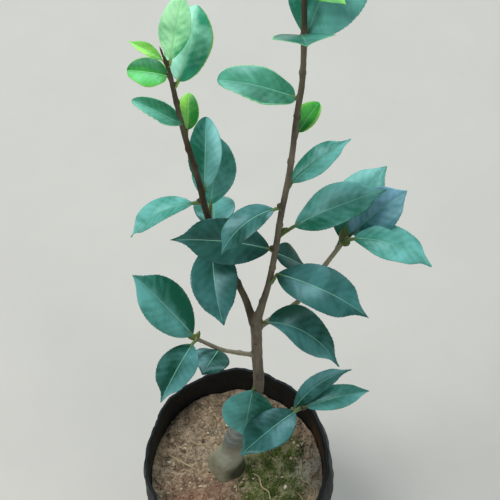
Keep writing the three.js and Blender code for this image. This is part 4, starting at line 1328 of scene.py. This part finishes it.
class LimbSettings(bpy.types.PropertyGroup):
    limb_voxel: length("Limb grain", "Size of the cells that the limbs are fused with", 0.0006, 0.003)
    bark_relief: length("Bark relief", "Depth of the furrows in the bark", 0.00045, 0.003)
    bark_colour: tint("Bark", "Grey-brown of the trunk and the right leader", 110, 100, 84)
    olive_colour: tint("Young bark", "Olive brown of the left leader", 66, 56, 38)
    pale_colour: tint("Pale bark", "Tan of the side shoot", 150, 142, 118)
    algae_colour: tint("Algae", "Pale green film on the stump", 180, 180, 150)
    tape_colour: tint("Graft tape", "Grey of the stretched tape", 122, 126, 118)


class LeafSettings(bpy.types.PropertyGroup):
    blade_rows: number("Blade rows", "Most rows of faces along one leaf", 92, 12, 160)
    blade_thickness: length("Blade thickness", "Thickness of a full-sized leaf", 0.00055, 0.002)
    tooth_depth: length("Tooth depth", "Depth of the teeth on a leaf's edge", 0.00042, 0.002)
    vein_depth: length("Vein depth", "How far the blade swells between its side veins", 0.0001, 0.002)
    deep: tint("Deep green", "Darkest leaves, in the middle of the plant", 18, 78, 60)
    blue_deep: tint("Blue green", "Dark leaves with a blue cast", 30, 94, 82)
    teal: tint("Teal", "Full-grown leaves of a middle tone", 36, 102, 86)
    # Blue teal, light teal, pale teal and sky teal are the leaf green lightened for painted light and the
    # painted sheen of mirrored sky; dull is it darkened for painted shade.
    blue_teal: tint("Blue teal", "Leaves that turn their blue gloss to the sky", 64, 136, 118)
    sea_green: tint("Sea green", "Lighter full-grown leaves", 66, 142, 114)
    green: tint("Green", "Leaves of this year", 58, 144, 96)
    light_teal: tint("Light teal", "Full-grown leaves that catch much light", 80, 148, 130)
    pale_teal: tint("Pale teal", "The large upper leaf and others in full light", 110, 186, 170)
    sky_teal: tint("Sky teal", "Leaf that mirrors the most sky", 128, 174, 196)
    dull: tint("Dull green", "Shaded lower leaf", 40, 96, 76)
    # Young leaves are paler than grown ones; soft teal and mint are also lightened to paint the glow of light
    # shining through them.
    soft_teal: tint("Soft teal", "Young leaves that still harden", 186, 250, 224)
    mint: tint("Mint", "Youngest leaves at the tips", 194, 252, 190)
    lime: tint("Lime", "Small new leaves", 154, 220, 88)
    grass: tint("Grass green", "Bright young leaves", 74, 170, 54)
    midrib_colour: tint("Midrib", "Midrib of the full-grown leaves", 122, 182, 156)
    young_midrib_colour: tint("Young midrib", "Midrib of the young leaves", 150, 222, 150)
    edge_colour: tint("Light edge", "Light edge of some leaves", 130, 208, 150)
    young_edge_colour: tint("Young edge", "Light edge of young leaves", 132, 204, 88)
    underside_colour: tint("Underside", "Underside of the full-grown leaves", 92, 138, 92)
    young_underside_colour: tint("Young underside", "Underside of the young leaves", 140, 196, 96)
    stalk_colour: tint("Stalk", "Leaf stalks", 88, 128, 66)
    young_stalk_colour: tint("Young stalk", "Stalks of the young leaves", 128, 186, 84)
    bud_colour: tint("Bud", "Plump green buds", 80, 104, 34)


class PotSettings(bpy.types.PropertyGroup):
    film_thickness: length("Film thickness", "Thickness of the soft film", 0.0006, 0.002)
    crease_depth: length("Crease depth", "Depth of the creases in the film", 0.0014, 0.006)
    film_colour: tint("Film", "Black of the film", 8, 16, 18)
    dust_colour: tint("Dust", "Dust on the lower wall", 92, 82, 70)
    stain_colour: tint("Stain", "Soil stain inside the rim", 96, 62, 44)


class SoilSettings(bpy.types.PropertyGroup):
    soil_cuts: number("Soil cuts", "Faces across the soil's surface", 190, 20, 300)
    crumb_count: number("Crumbs", "Small loose crumbs on the soil", 3600, 0, 8000)
    moss_count: number("Moss sprigs", "Sprigs of moss", 7000, 0, 12000)
    soil_roughness: length("Roughness", "Height of the soil's crumbs and clods", 0.0009, 0.004)
    soil_colour: tint("Soil", "Brown of the moist soil", 154, 134, 110)
    tan_colour: tint("Dry soil", "Lighter dry patches", 186, 168, 142)
    clay_colour: tint("Clay", "Red clay at the front left", 148, 106, 84)
    moss_colour: tint("Moss", "Green of the mossy soil", 112, 122, 70)
    straw_colour: tint("Straw", "Straws and rootlets", 186, 168, 128)


class StageSettings(bpy.types.PropertyGroup):
    floor_colour: tint("Floor", "Plain pale floor", 214, 208, 198)
    sky_colour: tint("Sky light", "Soft light from all round", 226, 236, 246)
    sky_strength: FloatProperty(
        name="Sky strength", description="Strength of the light from all round", default=0.34, min=0, max=5)
    key_power: wattage("Key power", "Power of the large soft light overhead", 54)
    sheen_power: wattage("Sheen power", "Power of the cool light behind, which the leaves mirror", 44)


# Operators, panel and registration


class CAMELLIA_OT_add_limbs(bpy.types.Operator):
    """Trunk, leaders and shoots as one fused body with bark"""

    bl_idname = "camellia.add_limbs"
    bl_label = "Trunk and shoots"

    def execute(self, context):
        build_limbs(context.scene.camellia_limbs)
        return {"FINISHED"}


class CAMELLIA_OT_add_tape(bpy.types.Operator):
    """Stretched tape round the graft"""

    bl_idname = "camellia.add_tape"
    bl_label = "Graft tape"

    def execute(self, context):
        build_tape(context.scene.camellia_limbs)
        return {"FINISHED"}


class CAMELLIA_OT_add_leaves(bpy.types.Operator):
    """Leaf blades and their stalks"""

    bl_idname = "camellia.add_leaves"
    bl_label = "Leaves"

    def execute(self, context):
        build_leaves(context.scene.camellia_leaves)
        return {"FINISHED"}


class CAMELLIA_OT_add_buds(bpy.types.Operator):
    """Buds at the tips and in the leaf axils"""

    bl_idname = "camellia.add_buds"
    bl_label = "Buds"

    def execute(self, context):
        build_buds(context.scene.camellia_leaves)
        return {"FINISHED"}


class CAMELLIA_OT_add_pot(bpy.types.Operator):
    """Soft film pot with a folded collar"""

    bl_idname = "camellia.add_pot"
    bl_label = "Film pot"

    def execute(self, context):
        build_pot(context.scene.camellia_pot)
        return {"FINISHED"}


class CAMELLIA_OT_add_soil(bpy.types.Operator):
    """Soil with its crumbs and chips"""

    bl_idname = "camellia.add_soil"
    bl_label = "Soil"

    def execute(self, context):
        build_soil(context.scene.camellia_soil)
        build_crumbs(context.scene.camellia_soil)
        return {"FINISHED"}


class CAMELLIA_OT_add_moss(bpy.types.Operator):
    """Moss, straws and rootlets on the soil"""

    bl_idname = "camellia.add_moss"
    bl_label = "Moss and litter"

    def execute(self, context):
        build_moss(context.scene.camellia_soil)
        build_litter(context.scene.camellia_soil)
        return {"FINISHED"}


class CAMELLIA_OT_add_stage(bpy.types.Operator):
    """Pale floor, soft studio light and the camera"""

    bl_idname = "camellia.add_stage"
    bl_label = "Stage"

    def execute(self, context):
        build_stage(context.scene.camellia_stage)
        return {"FINISHED"}


OPERATORS = (
    CAMELLIA_OT_add_limbs, CAMELLIA_OT_add_tape, CAMELLIA_OT_add_leaves, CAMELLIA_OT_add_buds,
    CAMELLIA_OT_add_pot, CAMELLIA_OT_add_soil, CAMELLIA_OT_add_moss, CAMELLIA_OT_add_stage,
)
SETTINGS = (
    ("camellia_limbs", LimbSettings), ("camellia_leaves", LeafSettings), ("camellia_pot", PotSettings),
    ("camellia_soil", SoilSettings), ("camellia_stage", StageSettings),
)


class CAMELLIA_PT_sidebar(bpy.types.Panel):
    """Lists the pieces and their settings"""

    bl_idname = "CAMELLIA_PT_sidebar"
    bl_label = "Potted camellia"
    bl_space_type = "VIEW_3D"
    bl_region_type = "UI"
    bl_category = "Camellia"

    def draw(self, context):
        column = self.layout.column()
        for operator in OPERATORS:
            column.operator(operator.bl_idname)
        for name, group in SETTINGS:
            box = self.layout.box()
            for key in group.__annotations__:
                box.prop(getattr(context.scene, name), key)


CLASSES = (*(group for _, group in SETTINGS), *OPERATORS, CAMELLIA_PT_sidebar)


def register():
    for each in CLASSES:
        bpy.utils.register_class(each)
    for name, group in SETTINGS:
        setattr(bpy.types.Scene, name, PointerProperty(type=group))


def unregister():
    for name, _ in SETTINGS:
        delattr(bpy.types.Scene, name)
    for each in reversed(CLASSES):
        bpy.utils.unregister_class(each)


def main():
    register()
    deselect()
    bpy.ops.camellia.add_limbs()
    bpy.ops.camellia.add_tape()
    bpy.ops.camellia.add_leaves()
    bpy.ops.camellia.add_buds()
    bpy.ops.camellia.add_pot()
    bpy.ops.camellia.add_soil()
    bpy.ops.camellia.add_moss()
    bpy.ops.camellia.add_stage()


if __name__ == "__main__":
    main()
